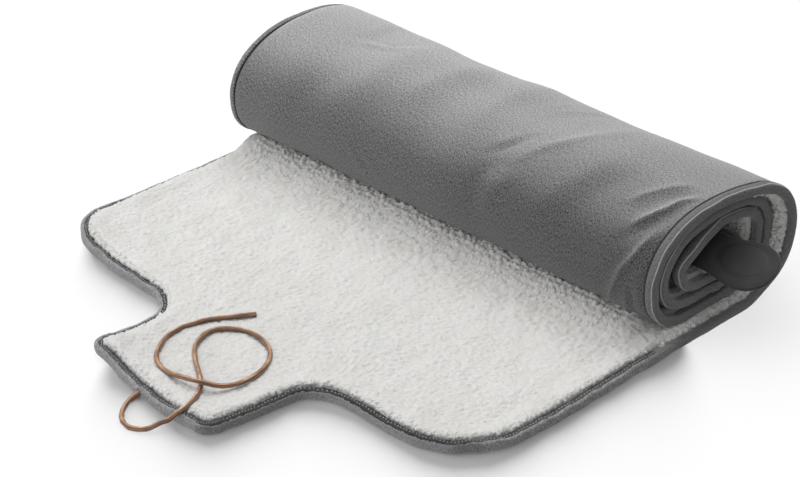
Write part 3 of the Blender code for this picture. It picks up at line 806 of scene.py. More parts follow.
# ------------------------------------------------------------------- cotton
# Creases of the outer turn: points of each as (x, s), its height over the cloth
# (below 0 for a trough) and its width, in millimetres.
CREASES = [
    # height, width, points (x, s)
    (1.7, 4.5, [(0.238, 0.640), (0.233, 0.6442), (0.226, 0.6544), (0.222, 0.6673), (0.214, 0.682), (0.203, 0.697)]),
    (-1.6, 8.0, [(0.236, 0.662), (0.229, 0.675), (0.219, 0.690), (0.206, 0.706), (0.190, 0.720)]),
    (0.9, 6.0, [(0.222, 0.628), (0.209, 0.6414), (0.203, 0.6504), (0.194, 0.664), (0.184, 0.680)]),
    (-1.0, 7.0, [(0.230, 0.637), (0.218, 0.652), (0.208, 0.668), (0.196, 0.684)]),
    (1.6, 4.5, [(0.234, 0.684), (0.229, 0.700), (0.225, 0.7141), (0.217, 0.727), (0.211, 0.7417), (0.203, 0.7603), (0.197, 0.776)]),
    (-1.3, 8.0, [(0.222, 0.700), (0.214, 0.716), (0.205, 0.732), (0.196, 0.750), (0.188, 0.770)]),
    (0.8, 3.5, [(0.222, 0.738), (0.221, 0.752), (0.217, 0.768), (0.212, 0.782)]),
    (-0.9, 4.0, [(0.228, 0.735), (0.227, 0.752), (0.223, 0.768), (0.219, 0.782)]),
    (1.5, 9.0, [(0.080, 0.672), (0.092, 0.6532), (0.105, 0.632), (0.116, 0.600), (0.120, 0.576)]),
    (1.3, 3.8, [(0.062, 0.690), (0.073, 0.6792), (0.082, 0.6634), (0.092, 0.6504), (0.099, 0.638), (0.114, 0.6053)]),
    (-1.4, 4.5, [(0.036, 0.694), (0.046, 0.682), (0.054, 0.673), (0.060, 0.662), (0.070, 0.645)]),
    (0.8, 4.0, [(0.040, 0.680), (0.048, 0.668), (0.056, 0.654)]),
    (0.7, 3.2, [(0.036, 0.628), (0.044, 0.611), (0.063, 0.5805), (0.073, 0.560)]),
    (0.6, 3.2, [(0.030, 0.612), (0.039, 0.5946), (0.052, 0.565)]),
    (-0.9, 6.0, [(0.050, 0.628), (0.064, 0.598), (0.078, 0.570)]),
    (1.6, 14.0, [(-0.072, 0.680), (-0.070, 0.6645), (-0.064, 0.6341), (-0.056, 0.5946), (-0.050, 0.570)]),
    (-1.3, 12.0, [(-0.040, 0.690), (-0.034, 0.660), (-0.026, 0.630), (-0.016, 0.600)]),
    (-1.5, 9.0, [(0.044, 0.745), (0.047, 0.7299), (0.047, 0.7096), (0.053, 0.696), (0.062, 0.682)]),
    (0.9, 8.0, [(0.060, 0.742), (0.064, 0.724), (0.070, 0.708), (0.080, 0.690)]),
    (1.0, 6.0, [(-0.166, 0.622), (-0.172, 0.607), (-0.180, 0.585), (-0.188, 0.565)]),
    (1.1, 5.0, [(-0.172, 0.634), (-0.161, 0.6279), (-0.147, 0.6239), (-0.132, 0.616), (-0.120, 0.606)]),
    (-1.0, 5.0, [(-0.152, 0.622), (-0.137, 0.6138), (-0.132, 0.600), (-0.128, 0.588)]),
    (1.0, 4.0, [(-0.106, 0.722), (-0.096, 0.7316), (-0.086, 0.742), (-0.076, 0.756), (-0.070, 0.770)]),
    (1.0, 4.0, [(-0.088, 0.722), (-0.081, 0.7316), (-0.068, 0.7446), (-0.058, 0.760)]),
    (-1.0, 4.0, [(-0.096, 0.724), (-0.086, 0.735), (-0.076, 0.748), (-0.066, 0.764)]),
    (-1.0, 16.0, [(0.130, 0.740), (0.150, 0.705), (0.165, 0.670), (0.175, 0.630)]),
    (1.1, 16.0, [(0.100, 0.735), (0.120, 0.700), (0.138, 0.665), (0.150, 0.625)]),
    (-1.1, 20.0, [(-0.180, 0.740), (-0.160, 0.705), (-0.140, 0.670), (-0.120, 0.640)]),
]


def crease_relief(x, s):
    """Outward displacement of the cotton from the table, in metres."""
    total = np.zeros_like(x)
    for height, width, pts in CREASES:
        line, _ = smooth_route([(p[0], p[1], 0.0) for p in pts], 0.0025)
        line = line[:, :2]
        lo, hi = line.min(0) - 3 * width / 1000, line.max(0) + 3 * width / 1000
        near = np.flatnonzero((x > lo[0]) & (x < hi[0]) & (s > lo[1]) & (s < hi[1]))
        if not len(near):
            continue
        d = np.hypot(x[near, None] - line[None, :, 0], s[near, None] - line[None, :, 1])
        k = d.argmin(1)
        t = k / (len(line) - 1)
        fade = ease(np.minimum(t, 1 - t) * 3.2 + 0.08)
        wide = width > 7.5
        sharp = 1.9 if pts[0][0] > 0.15 else 1.5 if pts[0][0] < -0.1 else 1.25
        total[near] += ((0.85 if wide else sharp) * height / 1000 * fade
                        * np.exp(-np.abs(d[np.arange(len(near)), k]
                                         / (width / (1150 if wide else 1350)))
                                 ** (1.6 if wide else 1.35)))
    return total


# The roll's top line, read off the photograph: x in metres, outward in mm.
TOP_LINE = [(-0.262, 0.0), (-0.249, 1.6), (-0.232, 3.3), (-0.2155, 2.9), (-0.199, 2.5),
            (-0.182, 1.7), (-0.165, 0.1), (-0.1485, -0.1), (-0.132, 0.6), (-0.115, 2.4),
            (-0.098, 1.9), (-0.081, 1.2), (-0.065, 0.5), (-0.048, -0.8), (-0.031, -2.4),
            (-0.014, -1.2), (0.002, 0.1), (0.019, -0.8), (0.036, 0.0), (0.086, 0.7),
            (0.103, 1.9), (0.120, 2.5), (0.137, 2.1), (0.153, 1.9), (0.170, 1.5),
            (0.187, 0.9), (0.204, 0.6), (0.220, 0.4), (0.260, 0.0)]
SLACK = waves(9, 0.050, 0.150, 0.00038, angle=radians(35), spread=radians(100))
LOOSE = waves(7, 0.030, 0.090, 0.00040)


def narrow(x, s):
    """How much narrower the tape lies on the outside at the far end of the roll."""
    return 1 - 0.36 * ease((s - S_FLOOR - 0.01) / 0.05) * ease((-x - 0.20) / 0.03)


def cotton_height(x, s):
    """Height of the cotton's outer face above its nominal place."""
    i = inset(x, s)
    i = i / np.where(i < 0.03, narrow(x, s), 1.0)
    seam = 1 - ease((i - 0.0085) / 0.0075)            # drawn in along the tape
    on_roll = ease((s - S_FLOOR - 0.01) / 0.05)
    turn = on_roll * (1 - ease((s - S_UNDER + 0.02) / 0.03))
    out = crease_relief(x, s) * turn
    top_x, top_up = np.array(TOP_LINE).T
    out = out + np.interp(x, top_x, top_up) / 1000 * np.exp(-((s - S_TOP + 0.012) / 0.050) ** 2)
    out = out + relief(SLACK, x, s) * turn + relief(LOOSE, x, s) * on_roll * 0.35 * (1 - turn)
    out = out * (1 - seam * 0.85)
    out = np.where(out < 0, -0.0019 * np.tanh(-out / 0.0019), out)
    return np.minimum(0.0008 * seam - out, 0.0020)


def cotton_piece():
    xs = spans((-0.2448, 0.12, 0.0049), (0.12, 0.175, 0.0032), (0.175, 0.2448, 0.0020))
    ss = spans((0.0052, 0.172, 0.0040), (0.172, 0.40, 0.0095), (0.40, S_FLOOR + 0.09, 0.0042),
               (S_FLOOR + 0.09, S_UNDER, 0.0027), (S_UNDER, S_END - 0.0052, 0.0062))
    x, s, q = trimmed(xs, ss, 0.0052)
    up = lift(x, s)
    h0 = cotton_height(x, s) + up
    n = len(x)
    verts = np.concatenate([place(x, s, h0), place(x, s, h0 + BACK_T - 0.0003)])
    b = boundary(q)
    faces = q[:, ::-1].tolist() + (q + n).tolist()
    faces += np.stack([b[:, 0], b[:, 1], b[:, 1] + n, b[:, 0] + n], 1).tolist()
    flat = np.stack([np.tile(x, 2), np.tile(s, 2), np.zeros(2 * n)], 1)
    ob = new_mesh("cotton_back", verts, faces, COTTON, flat)
    return ob, n


cotton, _ = cotton_piece()
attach(cotton, "root")
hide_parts("back_panel")


# ------------------------------------------------------------------ edge tape
PROFILE = [
    # inset mm, h mm: from the lip on the cotton side round to the fleece side
    (10.5, 1.3), (10.7, 0.3), (10.3, -0.35), (9.6, -0.40), (8.7, 0.0), (7.8, -0.5),
    (6.2, -0.95), (4.2, -1.0), (1.8, -0.75), (0.5, 0.2), (0.1, 1.9), (0.0, 4.0),
    (0.1, 5.8), (0.5, 7.0), (1.3, 7.6), (2.4, 7.7), (3.5, 7.5), (4.5, 7.2), (5.5, 6.9),
    (6.5, 6.7), (7.4, 6.4), (8.3, 6.1), (9.2, 5.6), (9.8, 4.9), (9.6, 4.0), (8.8, 2.6),
]
STITCH = 0.0031
WANDER = waves(6, 0.006, 0.024, 0.00030)
THICK = waves(6, 0.012, 0.070, 0.00040)
PUCKER = waves(5, 0.0055, 0.0125, 0.00022)


def tape_shift(u, i):
    """Unevenness of the tape: how far a point at length u and inset i (m) moves
    inwards and up."""
    zero = np.zeros_like(u)
    slow = relief(THICK, u, zero)
    quick = relief(PUCKER, u, zero)
    pinch = 0.00016 * np.cos(2 * pi * u / STITCH)
    near_seam = np.exp(-((i - 0.0086) / 0.0022) ** 2)
    body = np.sin(pi * np.clip(i / 0.0100, 0, 1))
    return slow * 0.7, slow * body + quick * (0.35 + 0.65 * body) + pinch * near_seam


def tape_level(u, h):
    """Height h of the tape where it stands less high than its section."""
    rise = edge_value(RISE_RIGHT, RISE_LEFT, u, OUTLINE_LEN)
    return np.where(h > 0.001, 0.001 + (h - 0.001) * rise, h)


def tape_piece():
    q, m, u, _ = outline(0.0021)
    n = len(q)
    rings, flats = [], []
    girth = 0.0
    for k, (i, h) in enumerate(PROFILE):
        if k:
            girth += np.hypot(i - PROFILE[k - 1][0], h - PROFILE[k - 1][1]) / 1000
        i, h = i / 1000, h / 1000
        dx, dh = tape_shift(u, np.full(n, i))
        side = -1.0 if k < 9 else 1.0
        ii = i + dx * (1 - ease(i / 0.008))
        if k < 9:
            ii = ii * narrow(q[:, 0], q[:, 1])
        p = q + m * ii[:, None]
        fleece_side = ease((h + 0.0005) / 0.003) * 2 - 1
        up = lift(p[:, 0], p[:, 1])
        floor = 1 - ease((p[:, 1] - S_FLOOR + 0.02) / 0.05)
        hh = tape_level(u, h) + dh * fleece_side * np.where(fleece_side < 0, 0.4, 1.0)
        hh = np.where(floor > 0, np.maximum(hh, -0.00085 * floor - 0.0014 * (1 - floor)), hh)
        rings.append(place(p[:, 0], p[:, 1], hh + up))
        # mask for painted shade and light on the tape: on the floor the painted dark band in the groove is wide
        # along the tongue's right side and the front on its right, narrow elsewhere; on the roll below zero: how
        # much painted shade darkens the end
        x0, s0 = q[:, 0], q[:, 1]
        light_shade_mask = 0.25 + 0.75 * ease((x0 - 0.066) / 0.016) * (1 - 0.75 * ease((x0 - 0.222) / 0.02))
        rolled = ease((s0 - 0.300) / 0.06)
        light_shade_mask = light_shade_mask * (1 - rolled) - rolled * np.where(x0 > 0, 1.0, 0.5)
        flats.append(np.stack([u, np.full(n, girth), light_shade_mask], 1))
    r = len(rings)
    verts, flat = np.concatenate(rings), np.concatenate(flats)
    j = np.arange(n)
    faces = []
    for k in range(r):
        k2 = (k + 1) % r
        faces.append(np.stack([k * n + j, k2 * n + j, k2 * n + (j + 1) % n, k * n + (j + 1) % n], 1))
    return new_mesh("edge_tape", verts, np.concatenate(faces).tolist(), TAPE, flat)


tape = tape_piece()
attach(tape, "root")
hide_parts("binding")


def stitch_rows(name, i, h, mat, radius=0.00034, share=0.62):
    """A row of sewing along the tape, each stitch a small capsule."""
    _, _, _, total = outline(0.01)
    count = int(total / STITCH)
    q, m, u, total = outline(total / count / 8)
    count = len(u) // 8
    base = np.arange(count) * 8
    sides = 5
    steps = [(-0.5, 0.35, -0.00020), (-0.30, 1.0, 0.00010), (0.0, 1.0, 0.00018),
             (0.30, 1.0, 0.00010), (0.5, 0.35, -0.00020)]
    ang = np.linspace(0, 2 * pi, sides, endpoint=False)
    allv = []
    for off, fat, rise in steps:
        idx = (base + 4 + np.round(off * share * 8).astype(int)) % len(u)
        frac = off * share * 8 - np.round(off * share * 8)
        ii = (i * (narrow(q[idx, 0], q[idx, 1]) if h < 0.002 else np.ones(count))
              + (relief(WANDER, u[base], np.zeros(count)) if h > 0.002 else 0.0))[:, None]
        p = q[idx] + m[idx] * ii
        nxt = q[(idx + 1) % len(u)] + m[(idx + 1) % len(u)] * ii
        p = p + (nxt - p) * frac
        lx, lh = tape_shift(u[idx], np.full(count, i))
        up = lift(p[:, 0], p[:, 1])
        sign = 1.0 if h > 0.002 else -1.0
        for a0 in ang:
            w, v = radius * fat * np.cos(a0), radius * fat * np.sin(a0)
            pp = p + m[idx] * w
            hh = tape_level(u[idx], h) + sign * (rise + lh * (1 if sign > 0 else 0.4))
            allv.append(place(pp[:, 0], pp[:, 1], hh + v + up))
    v = np.array(allv).transpose(1, 0, 2).reshape(-1, 3)
    per = len(steps) * sides
    one = []
    for r in range(len(steps) - 1):
        for k in range(sides):
            k2 = (k + 1) % sides
            one.append((r * sides + k, r * sides + k2, (r + 1) * sides + k2, (r + 1) * sides + k))
    faces = (np.array(one)[None] + (np.arange(count) * per)[:, None, None]).reshape(-1, 4).tolist()
    caps0 = (np.arange(count) * per)[:, None] + np.arange(sides)[::-1][None]
    caps1 = (np.arange(count) * per)[:, None] + ((len(steps) - 1) * sides + np.arange(sides))[None]
    faces += caps0.tolist() + caps1.tolist()
    ob = new_mesh(name, v, faces, mat)
    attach(ob, "root")
    return ob


sewing_out = stitch_rows("sewing_outside", 0.0087, -0.00015, THREAD_DARK, radius=0.00050)
sewing_in = stitch_rows("sewing_inside", 0.0050, 0.00715, THREAD_LIGHT, radius=0.00058,
                        share=0.34)


# -------------------------------------------------------------------- fleece
def clumps(xs, ss, spacing, seed, tall, size):
    """Relief of the curly pile on a grid: each clump is a bent oval dome, and the
    highest one counts."""
    r = np.random.default_rng(seed)
    H = np.zeros((len(ss), len(xs)))
    x0, x1, s0, s1 = xs[0], xs[-1], ss[0], ss[-1]
    nx, ns = int((x1 - x0) / spacing) + 2, int((s1 - s0) / (0.87 * spacing)) + 2
    gx, gs = np.meshgrid(np.arange(nx), np.arange(ns))
    cx = (x0 + (gx + 0.5 * (gs % 2) + 0.85 * (r.random(gx.shape) - 0.5)) * spacing).ravel()
    cs = (s0 + (gs * 0.87 + 0.80 * (r.random(gx.shape) - 0.5)) * spacing).ravel()
    n = len(cx)
    th = r.random(n) * pi
    la = size[0] + (size[1] - size[0]) * r.random(n)
    lb = la * (0.68 + 0.32 * r.random(n))
    bend = (r.random(n) - 0.5) * 0.9 / la
    top = tall[0] + (tall[1] - tall[0]) * r.random(n)
    hook = r.random(n)
    for k in range(n):
        R = la[k] * 1.05
        i0, i1 = np.searchsorted(xs, [cx[k] - R, cx[k] + R])
        j0, j1 = np.searchsorted(ss, [cs[k] - R, cs[k] + R])
        if i1 <= i0 or j1 <= j0:
            continue
        dx = xs[i0:i1][None, :] - cx[k]
        ds = ss[j0:j1][:, None] - cs[k]
        c, sn = cos(th[k]), sin(th[k])
        p = dx * c + ds * sn
        qq = -dx * sn + ds * c - bend[k] * p * p
        rho = (p / la[k]) ** 2 + (qq / lb[k]) ** 2
        dome = top[k] * np.clip(1 - rho, 0, 1) ** 0.72
        dome = dome * (1 - 0.25 * hook[k] * np.exp(-rho * 9))       # a dimple in the curl
        view = H[j0:j1, i0:i1]
        np.maximum(view, dome, out=view)
    return H


HILLS = waves(10, 0.018, 0.080, 0.00032)
RAG = waves(12, 0.0036, 0.0110, 0.00026)

# height of the roll's underside over the flap, by y in the section
under_y = PY[(S >= S_FRONT) & (S <= S_BACK2)]
under_z = PZ[(S >= S_FRONT) & (S <= S_BACK2)]


def bushy(x, s):
    """Where the pile stands in bigger knobs: 0 in the open, 1 beside the roll, and
    lower again at the far side, where the tape shows."""
    y = s + TONGUE_FRONT
    by_roll = ease((y + 0.100 + 0.10 * np.minimum(x, 0)) / 0.095) * ease((x + 0.2420) / 0.030)
    by_edge = 0.45 * (1 - ease((inset(x, s) - 0.012) / 0.016))
    return np.maximum(by_roll, by_edge)


def pile_height(x, s, relief_h, tops):
    """Top of the fleece above the cotton's outer face."""
    i = inset(x, s) + relief(RAG, x, s)
    base = PILE_TOP + relief(HILLS, x, s) * (1 - ease((s - S_FLOOR) / 0.05)) - tops
    y = s + TONGUE_FRONT
    on_floor = s < S_FLOOR + 0.01
    open_end = ease((x - 0.212) / 0.012)              # past the drawn in turns
    ruffle = 0.0088 * ease((y + 0.016) / 0.036) * (1 - ease((s - S_FLOOR + 0.03) / 0.04))
    ruffle = ruffle * (1 - 0.7 * open_end)
    edge_puff = 0.0006 * np.exp(-((i - 0.0165) / 0.0055) ** 2)
    h = base + ruffle + edge_puff + relief_h
    drop = 1 - np.sqrt(np.clip((i - 0.0089) / 0.0014, 0, 1))    # rounds down to the seam
    h = h * (1 - drop) + 0.0040 * drop
    cap = np.interp(y, under_y, under_z, left=1.0) - 0.0004 + 0.01 * open_end
    h = np.where(on_floor, np.minimum(h, cap), h)
    return h


def fleece_flap(name, s0, s1, step, seed_h):
    xs = spans((-0.2415, 0.2415, step))
    ss = spans((s0, s1, step))
    lo = 0.0088
    X, SS = np.meshgrid(xs, ss)
    rows, cols = X.shape
    inside = inset(X, SS)
    gq = grid_quads(rows, cols)
    x, s = X.ravel().copy(), SS.ravel().copy()
    keep = inset(x[gq].mean(1), s[gq].mean(1)) >= lo
    gq = gq[keep]
    Hh = seed_h(X, SS).ravel()
    used, q = np.unique(gq, return_inverse=True)
    q = q.reshape(-1, 4)
    x, s, Hh = x[used], s[used], Hh[used]
    x2, s2, _ = trimmed(xs, ss, lo)
    inner = np.ones(len(x), bool)
    inner[np.unique(boundary(q))] = False
    jit = np.random.default_rng(77)
    dx = (jit.random(len(x)) - 0.5) * step * 0.5
    ds = (jit.random(len(x)) - 0.5) * step * 0.5
    x, s = np.where(inner, x + dx, x2), np.where(inner, s + ds, s2)
    up = lift(x, s)
    h = pile_height(x, s, Hh, 0.0014)
    n = len(x)
    b = boundary(q)
    nxt = dict(zip(b[:, 0].tolist(), b[:, 1].tolist()))
    start = int(b[0, 0])
    loop, k = [start], nxt[start]
    while k != start:
        loop.append(k)
        k = nxt[k]
    loop = np.array(loop)
    low = place(x[loop], s[loop], BACK_T + GAP + up[loop])
    verts = np.concatenate([place(x, s, h + up), low])
    m = len(loop)
    j = np.arange(m)
    walls = np.stack([loop[(j + 1) % m], loop[j], n + j, n + (j + 1) % m], 1)
    faces = q.tolist() + walls.tolist() + [[n + int(t) for t in reversed(range(m))]]
    flat = np.stack([np.concatenate([x, x[loop]]), np.concatenate([s, s[loop]]),
                     np.concatenate([h, np.full(m, 0.001)])], 1)
    ob = new_mesh(name, verts, faces, FLEECE, flat)
    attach(ob, "root")
    return ob


STEP = 0.00121
S_CUT2, S_CUT3 = 0.3608, 0.700
field_x = spans((-0.2415, 0.2415, STEP))
field_s = spans((0.0088, S_CUT2, STEP))
field_xx, field_ss = np.meshgrid(field_x, field_s)
field_w = bushy(field_xx, field_ss)
field = (clumps(field_x, field_s, 0.0034, 5, (0.0007, 0.0019), (0.0018, 0.0030)) * (1 - field_w)
         + clumps(field_x, field_s, 0.0046, 6, (0.0012, 0.0030), (0.0026, 0.0040)) * field_w)
field[1:-1, 1:-1] = (0.7 * field[1:-1, 1:-1]
                     + 0.075 * (field[:-2, 1:-1] + field[2:, 1:-1] + field[1:-1, :-2] + field[1:-1, 2:]))


def from_field(X, SS):
    """The flap's clumps, read at grid points that lie on the field's own."""
    i = np.clip(np.searchsorted(field_x, X.ravel() - 1e-7), 0, len(field_x) - 1)
    j = np.clip(np.searchsorted(field_s, SS.ravel() - 1e-7), 0, len(field_s) - 1)
    return field[j, i].reshape(X.shape)


fleece_flap_ob = fleece_flap("fleece_face", 0.0088, S_CUT2, STEP, from_field)


def fleece_turns(name, xs, ss, spacing, seed, first=None):
    """Fleece of the rolled part: a grid with the clumps on top and plain strips
    below."""
    H = clumps(xs, ss, spacing, seed, (0.0020, 0.0042), (0.0028, 0.0046))
    X, SS = np.meshgrid(xs, ss)
    full = HALF_W - 0.0088
    room = np.clip((END_R - 0.0088) ** 2 - np.maximum(SS - (S_END - END_R), 0) ** 2, 0, None)
    wide = np.where(SS > S_END - END_R, HALF_W - END_R + np.sqrt(room), full)
    X = X * wide / full
    h = pile_height(X, SS, H, 0.0026)
    if first is not None:                     # the first row meets the flap's last
        w = ease((ss - ss[0]) / 0.006)[:, None]
        flap_h = pile_height(xs, np.full(len(xs), ss[0]), first, 0.0014)[None]
        h = h * w + flap_h * (1 - w)
    up = lift(X, SS)
    rows, cols = X.shape
    n = rows * cols
    q = grid_quads(rows, cols)
    lowh = BACK_T + GAP + np.where(ss > S_FLOOR + 0.02, 0.0018, 0.0)
    low_l = place(X[:, 0], ss, lowh + up[:, 0])
    low_r = place(X[:, -1], ss, lowh + up[:, -1])
    verts = np.concatenate([place(X, SS, h + up).reshape(-1, 3), low_l, low_r])
    j = np.arange(rows - 1)
    L, R = n + np.arange(rows), n + rows + np.arange(rows)
    top_l, top_r = np.arange(rows) * cols, np.arange(rows) * cols + cols - 1
    faces = q.tolist()
    faces += np.stack([top_l[j], top_l[j + 1], L[j + 1], L[j]], 1).tolist()
    faces += np.stack([top_r[j + 1], top_r[j], R[j], R[j + 1]], 1).tolist()
    faces += np.stack([L[j], L[j + 1], R[j + 1], R[j]], 1).tolist()
    faces.append([int(L[0]), int(R[0])] + list(range(cols - 1, -1, -1)))
    faces.append([int(R[-1]), int(L[-1])] + list(range((rows - 1) * cols, rows * cols)))
    fx = np.concatenate([X.ravel(), X[:, 0], X[:, -1]])
    fs = np.concatenate([SS.ravel(), ss, ss])
    fh = np.concatenate([h.ravel(), np.full(2 * rows, 0.001)])
    ob = new_mesh(name, verts, faces, FLEECE, np.stack([fx, fs, fh], 1))
    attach(ob, "root")
    return ob


cols_a = spans((-0.2412, -0.205, 0.0014), (-0.205, 0.185, 0.0070), (0.185, 0.2412, 0.0011))
cols_b = spans((-0.2412, -0.215, 0.0017), (-0.215, 0.195, 0.0085), (0.195, 0.2412, 0.0015))
first_row = np.interp(cols_a, field_x, field[-1])
turn_a = fleece_turns("fleece_rising", cols_a,
                      spans((S_CUT2, 0.475, 0.0012), (0.475, S_CUT3, 0.0016)), 0.0042, 11,
                      first=first_row)
turn_b = fleece_turns("fleece_inner", cols_b, spans((S_CUT3, S_END - 0.0088, 0.0023)),
                      0.0046, 12)
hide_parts("fleece_panel")


def ball():
    """A round of 42 points and 80 triangles."""
    bm = bmesh.new()
    bmesh.ops.create_icosphere(bm, subdivisions=2, radius=1.0)
    v = np.array([list(q.co) for q in bm.verts])
    f = np.array([[q.index for q in face.verts] for face in bm.faces])
    bm.free()
    return v, f


def curls(name, at, size, seed):
    """Single curls of the pile: bent little knobs round points (x, s, h)."""
    r = np.random.default_rng(seed)
    unit, tri = ball()
    verts = []
    for p, a0 in zip(at, size):
        axis = r.normal(size=3)
        axis /= np.linalg.norm(axis)
        stretch = unit + np.outer(unit @ axis, axis) * (0.15 + 0.5 * r.random())
        wob = 1 + 0.16 * np.sin(unit @ (r.normal(size=3) * 3.2) + 6.3 * r.random())
        verts.append(p + stretch * wob[:, None] * a0)
    v = np.concatenate(verts)
    faces = (tri[None] + (np.arange(len(at)) * len(unit))[:, None, None]).reshape(-1, 3)
    pts = place(v[:, 0], v[:, 1], v[:, 2] + lift(v[:, 0], v[:, 1]))
    ob = new_mesh(name, pts, faces.tolist(), FLEECE, v)
    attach(ob, "root")
    return ob


def curl_points(rows, seed, size):
    """Uneven rows of points, each row (side, s from, s to, inset mm, height mm)."""
    r = np.random.default_rng(seed)
    out, sizes = [], []
    for side, s0, s1, ins, hh in rows:
        n = int((s1 - s0) / 0.0034)
        s = s0 + (np.arange(n) + 0.6 * (r.random(n) - 0.5)) * (s1 - s0) / n
        i = (ins + 1.6 * (r.random(n) - 0.5)) / 1000
        h = (hh + 1.5 * (r.random(n) - 0.5)) / 1000
        out.append(np.stack([side * (HALF_W - i), s, h], 1))
        sizes.append(size[0] + (size[1] - size[0]) * r.random(n))
    return np.concatenate(out), np.concatenate(sizes)


# where the rolled cloth shows its ends
curl_rows = []
for s0, s1 in ((S_FLOOR - 0.085, S_TOP + 0.015), (S_RUN - 0.010, S_BACK2 + 0.020),
               (S_END - 0.060, S_END - 0.012)):
    for ins, hh in ((7.6, 5.0), (7.6, 7.6), (9.6, 9.2), (12.6, 9.9), (15.8, 9.9)):
        curl_rows.append((1, s0, s1, ins, hh))
for ins in np.arange(15.0, 62.0, 3.6):
    curl_rows.append((1, MARKS[10] - 0.010, MARKS[11] + 0.020, ins, 9.6))
for ins, hh in ((7.8, 7.2), (10.0, 9.0)):
    curl_rows.append((-1, S_FLOOR - 0.060, S_TOP, ins, hh))
curl_ob = curls("fleece_curls", *curl_points(curl_rows, 31, (0.0015, 0.0028)), 32)


def border_points(seed):
    """Curls that hang over the tape all round the flap, and lean on the roll."""
    r = np.random.default_rng(seed)
    out, sizes = [], []
    for ins, hh, lo, hi in ((10.9, 7.4, 0.0015, 0.0023), (12.8, 7.9, 0.0014, 0.0021)):
        q, m, u, _ = outline(0.0024)
        n = len(q)
        left = (2.0 if ins < 12 else 1.6) * ease((-q[:, 0] - 0.06) / 0.03) * (
            1 - 0.85 * ease((q[:, 1] - 0.135) / 0.04))
        i = (ins - left + 1.0 * (r.random(n) - 0.5)) / 1000
        p = q + m * i[:, None]
        h = (tape_level(u, np.full(n, hh / 1000)) + left * 0.00022
             + 0.0008 * (r.random(n) - 0.5))
        use = (q[:, 1] < S_FLOOR - 0.060) & ~((q[:, 0] < -0.24) & (q[:, 1] > 0.20))
        out.append(np.concatenate([p, h[:, None]], 1)[use])
        sizes.append((lo + (hi - lo) * r.random(n))[use])
    for y, lo, hi in ((-0.0060, 0.0013, 0.0023), (0.0010, 0.0014, 0.0025),
                      (0.0075, 0.0015, 0.0027), (0.0130, 0.0016, 0.0028),
                      (0.0185, 0.0017, 0.0029), (0.0235, 0.0018, 0.0030),
                      (0.0275, 0.0019, 0.0030)):
        n = 128
        x = -0.226 + (np.arange(n) + 0.7 * (r.random(n) - 0.5)) * 0.434 / n
        s = y - TONGUE_FRONT + 0.003 * (r.random(n) - 0.5)
        ground = pile_height(x, s, np.full(n, 0.0012), 0.0014)
        out.append(np.stack([x, s, ground - (0.0003 if y > 0.01 else 0.0009)], 1))
        sizes.append(lo + (hi - lo) * r.random(n))
    return np.concatenate(out), np.concatenate(sizes)


border_ob = curls("fleece_border", *border_points(41), 42)


# ---------------------------------------------------------------- control tab
def lean_dir(along, lean):
    a0 = Vector(along).normalized()
    w = Vector((0.0, sin(lean * pi / 180), cos(lean * pi / 180)))
    return (w - a0 * w.dot(a0)).normalized()


def tab_line():
    """(middle, width direction, half width) from root to tip, finely spaced."""
    mids = [Vector(r[:3]) + Vector((0, 0, TAB_UP * (1 - i / 4.0)))
            for i, r in enumerate(TAB_STATIONS)]
    st = []
    for i, (x, y, z, half, lean) in enumerate(TAB_STATIONS):
        a0 = mids[min(i + 1, len(mids) - 1)] - mids[max(i - 1, 0)]
        st.append((mids[i], lean_dir(a0, lean), half))
    h = TAB_HEAD
    start, along = Vector(h["start"]), Vector(h["along"]).normalized()
    w = lean_dir(along, h["lean"])
    full, straight = h["half"], h["straight"]
    out = []
    for i in range(len(st) - 1):
        for k in range(6):
            t = k / 6
            out.append((st[i][0].lerp(st[i + 1][0], t), st[i][1].lerp(st[i + 1][1], t).normalized(),
                        st[i][2] * (1 - t) + st[i + 1][2] * t))
    first = TAB_STATIONS[-1][3]
    for k in range(25):
        t = k / 24
        out.append((start + along * (straight * t), w, first + (full - first) * float(ease(t))))
    for k in range(1, 25):
        t = k / 24 * pi / 2
        half = full * cos(t) ** 0.86 if k < 24 else 0.0012
        out.append((start + along * (straight + full * 1.05 * sin(t)), w, half))
    return out


def tab_frame(i, st):
    a0 = (st[min(i + 1, len(st) - 1)][0] - st[max(i - 1, 0)][0]).normalized()
    up = st[i][1].cross(a0).normalized()
    return -up if up.y > 0 else up


def tab_piece():
    st = tab_line()
    across = 22
    off = Vector((MAT_X, FRAME_Y, 0))
    verts, faces = [], []
    for i, (m, w, half) in enumerate(st):
        up = tab_frame(i, st)
        loop = []
        tip = max(0.0, (i - (len(st) - 25)) / 24)
        for sgn in (1, -1):
            rng_k = range(across + 1) if sgn == 1 else range(across, -1, -1)
            for k in rng_k:
                v = -cos(pi * k / across)
                from_edge = (1 - abs(v)) * half
                if tip > 0:
                    from_edge = min(from_edge, half * 0.55 * (1 - abs(v)) + 0.0215 * 1.05 * (1 - sin(tip * pi / 2)))
                edge = float(ease(from_edge / 0.0016)) ** 0.5
                welt = 0.00035 * np.exp(-((from_edge - 0.0028) / 0.0007) ** 2)
                loop.append(m + w * (half * v) + up * (sgn * (TAB_T / 2 * edge - welt)) + off)
        verts += loop
    n = 2 * (across + 1)
    for i in range(len(st) - 1):
        for k in range(n):
            k2 = (k + 1) % n
            faces.append((i * n + k, (i + 1) * n + k, (i + 1) * n + k2, i * n + k2))
    faces.append(tuple(range(n)))
    faces.append(tuple((len(st) - 1) * n + k for k in reversed(range(n))))
    me_ob = new_mesh("tab", [tuple(v) for v in verts], faces, TAB_BLACK)
    bm = bmesh.new()
    bm.from_mesh(me_ob.data)
    bmesh.ops.remove_doubles(bm, verts=bm.verts[:], dist=0.00003)
    bmesh.ops.recalc_face_normals(bm, faces=bm.faces[:])
    bm.to_mesh(me_ob.data)
    bm.free()
    me_ob.data.shade_smooth()
    return me_ob, st


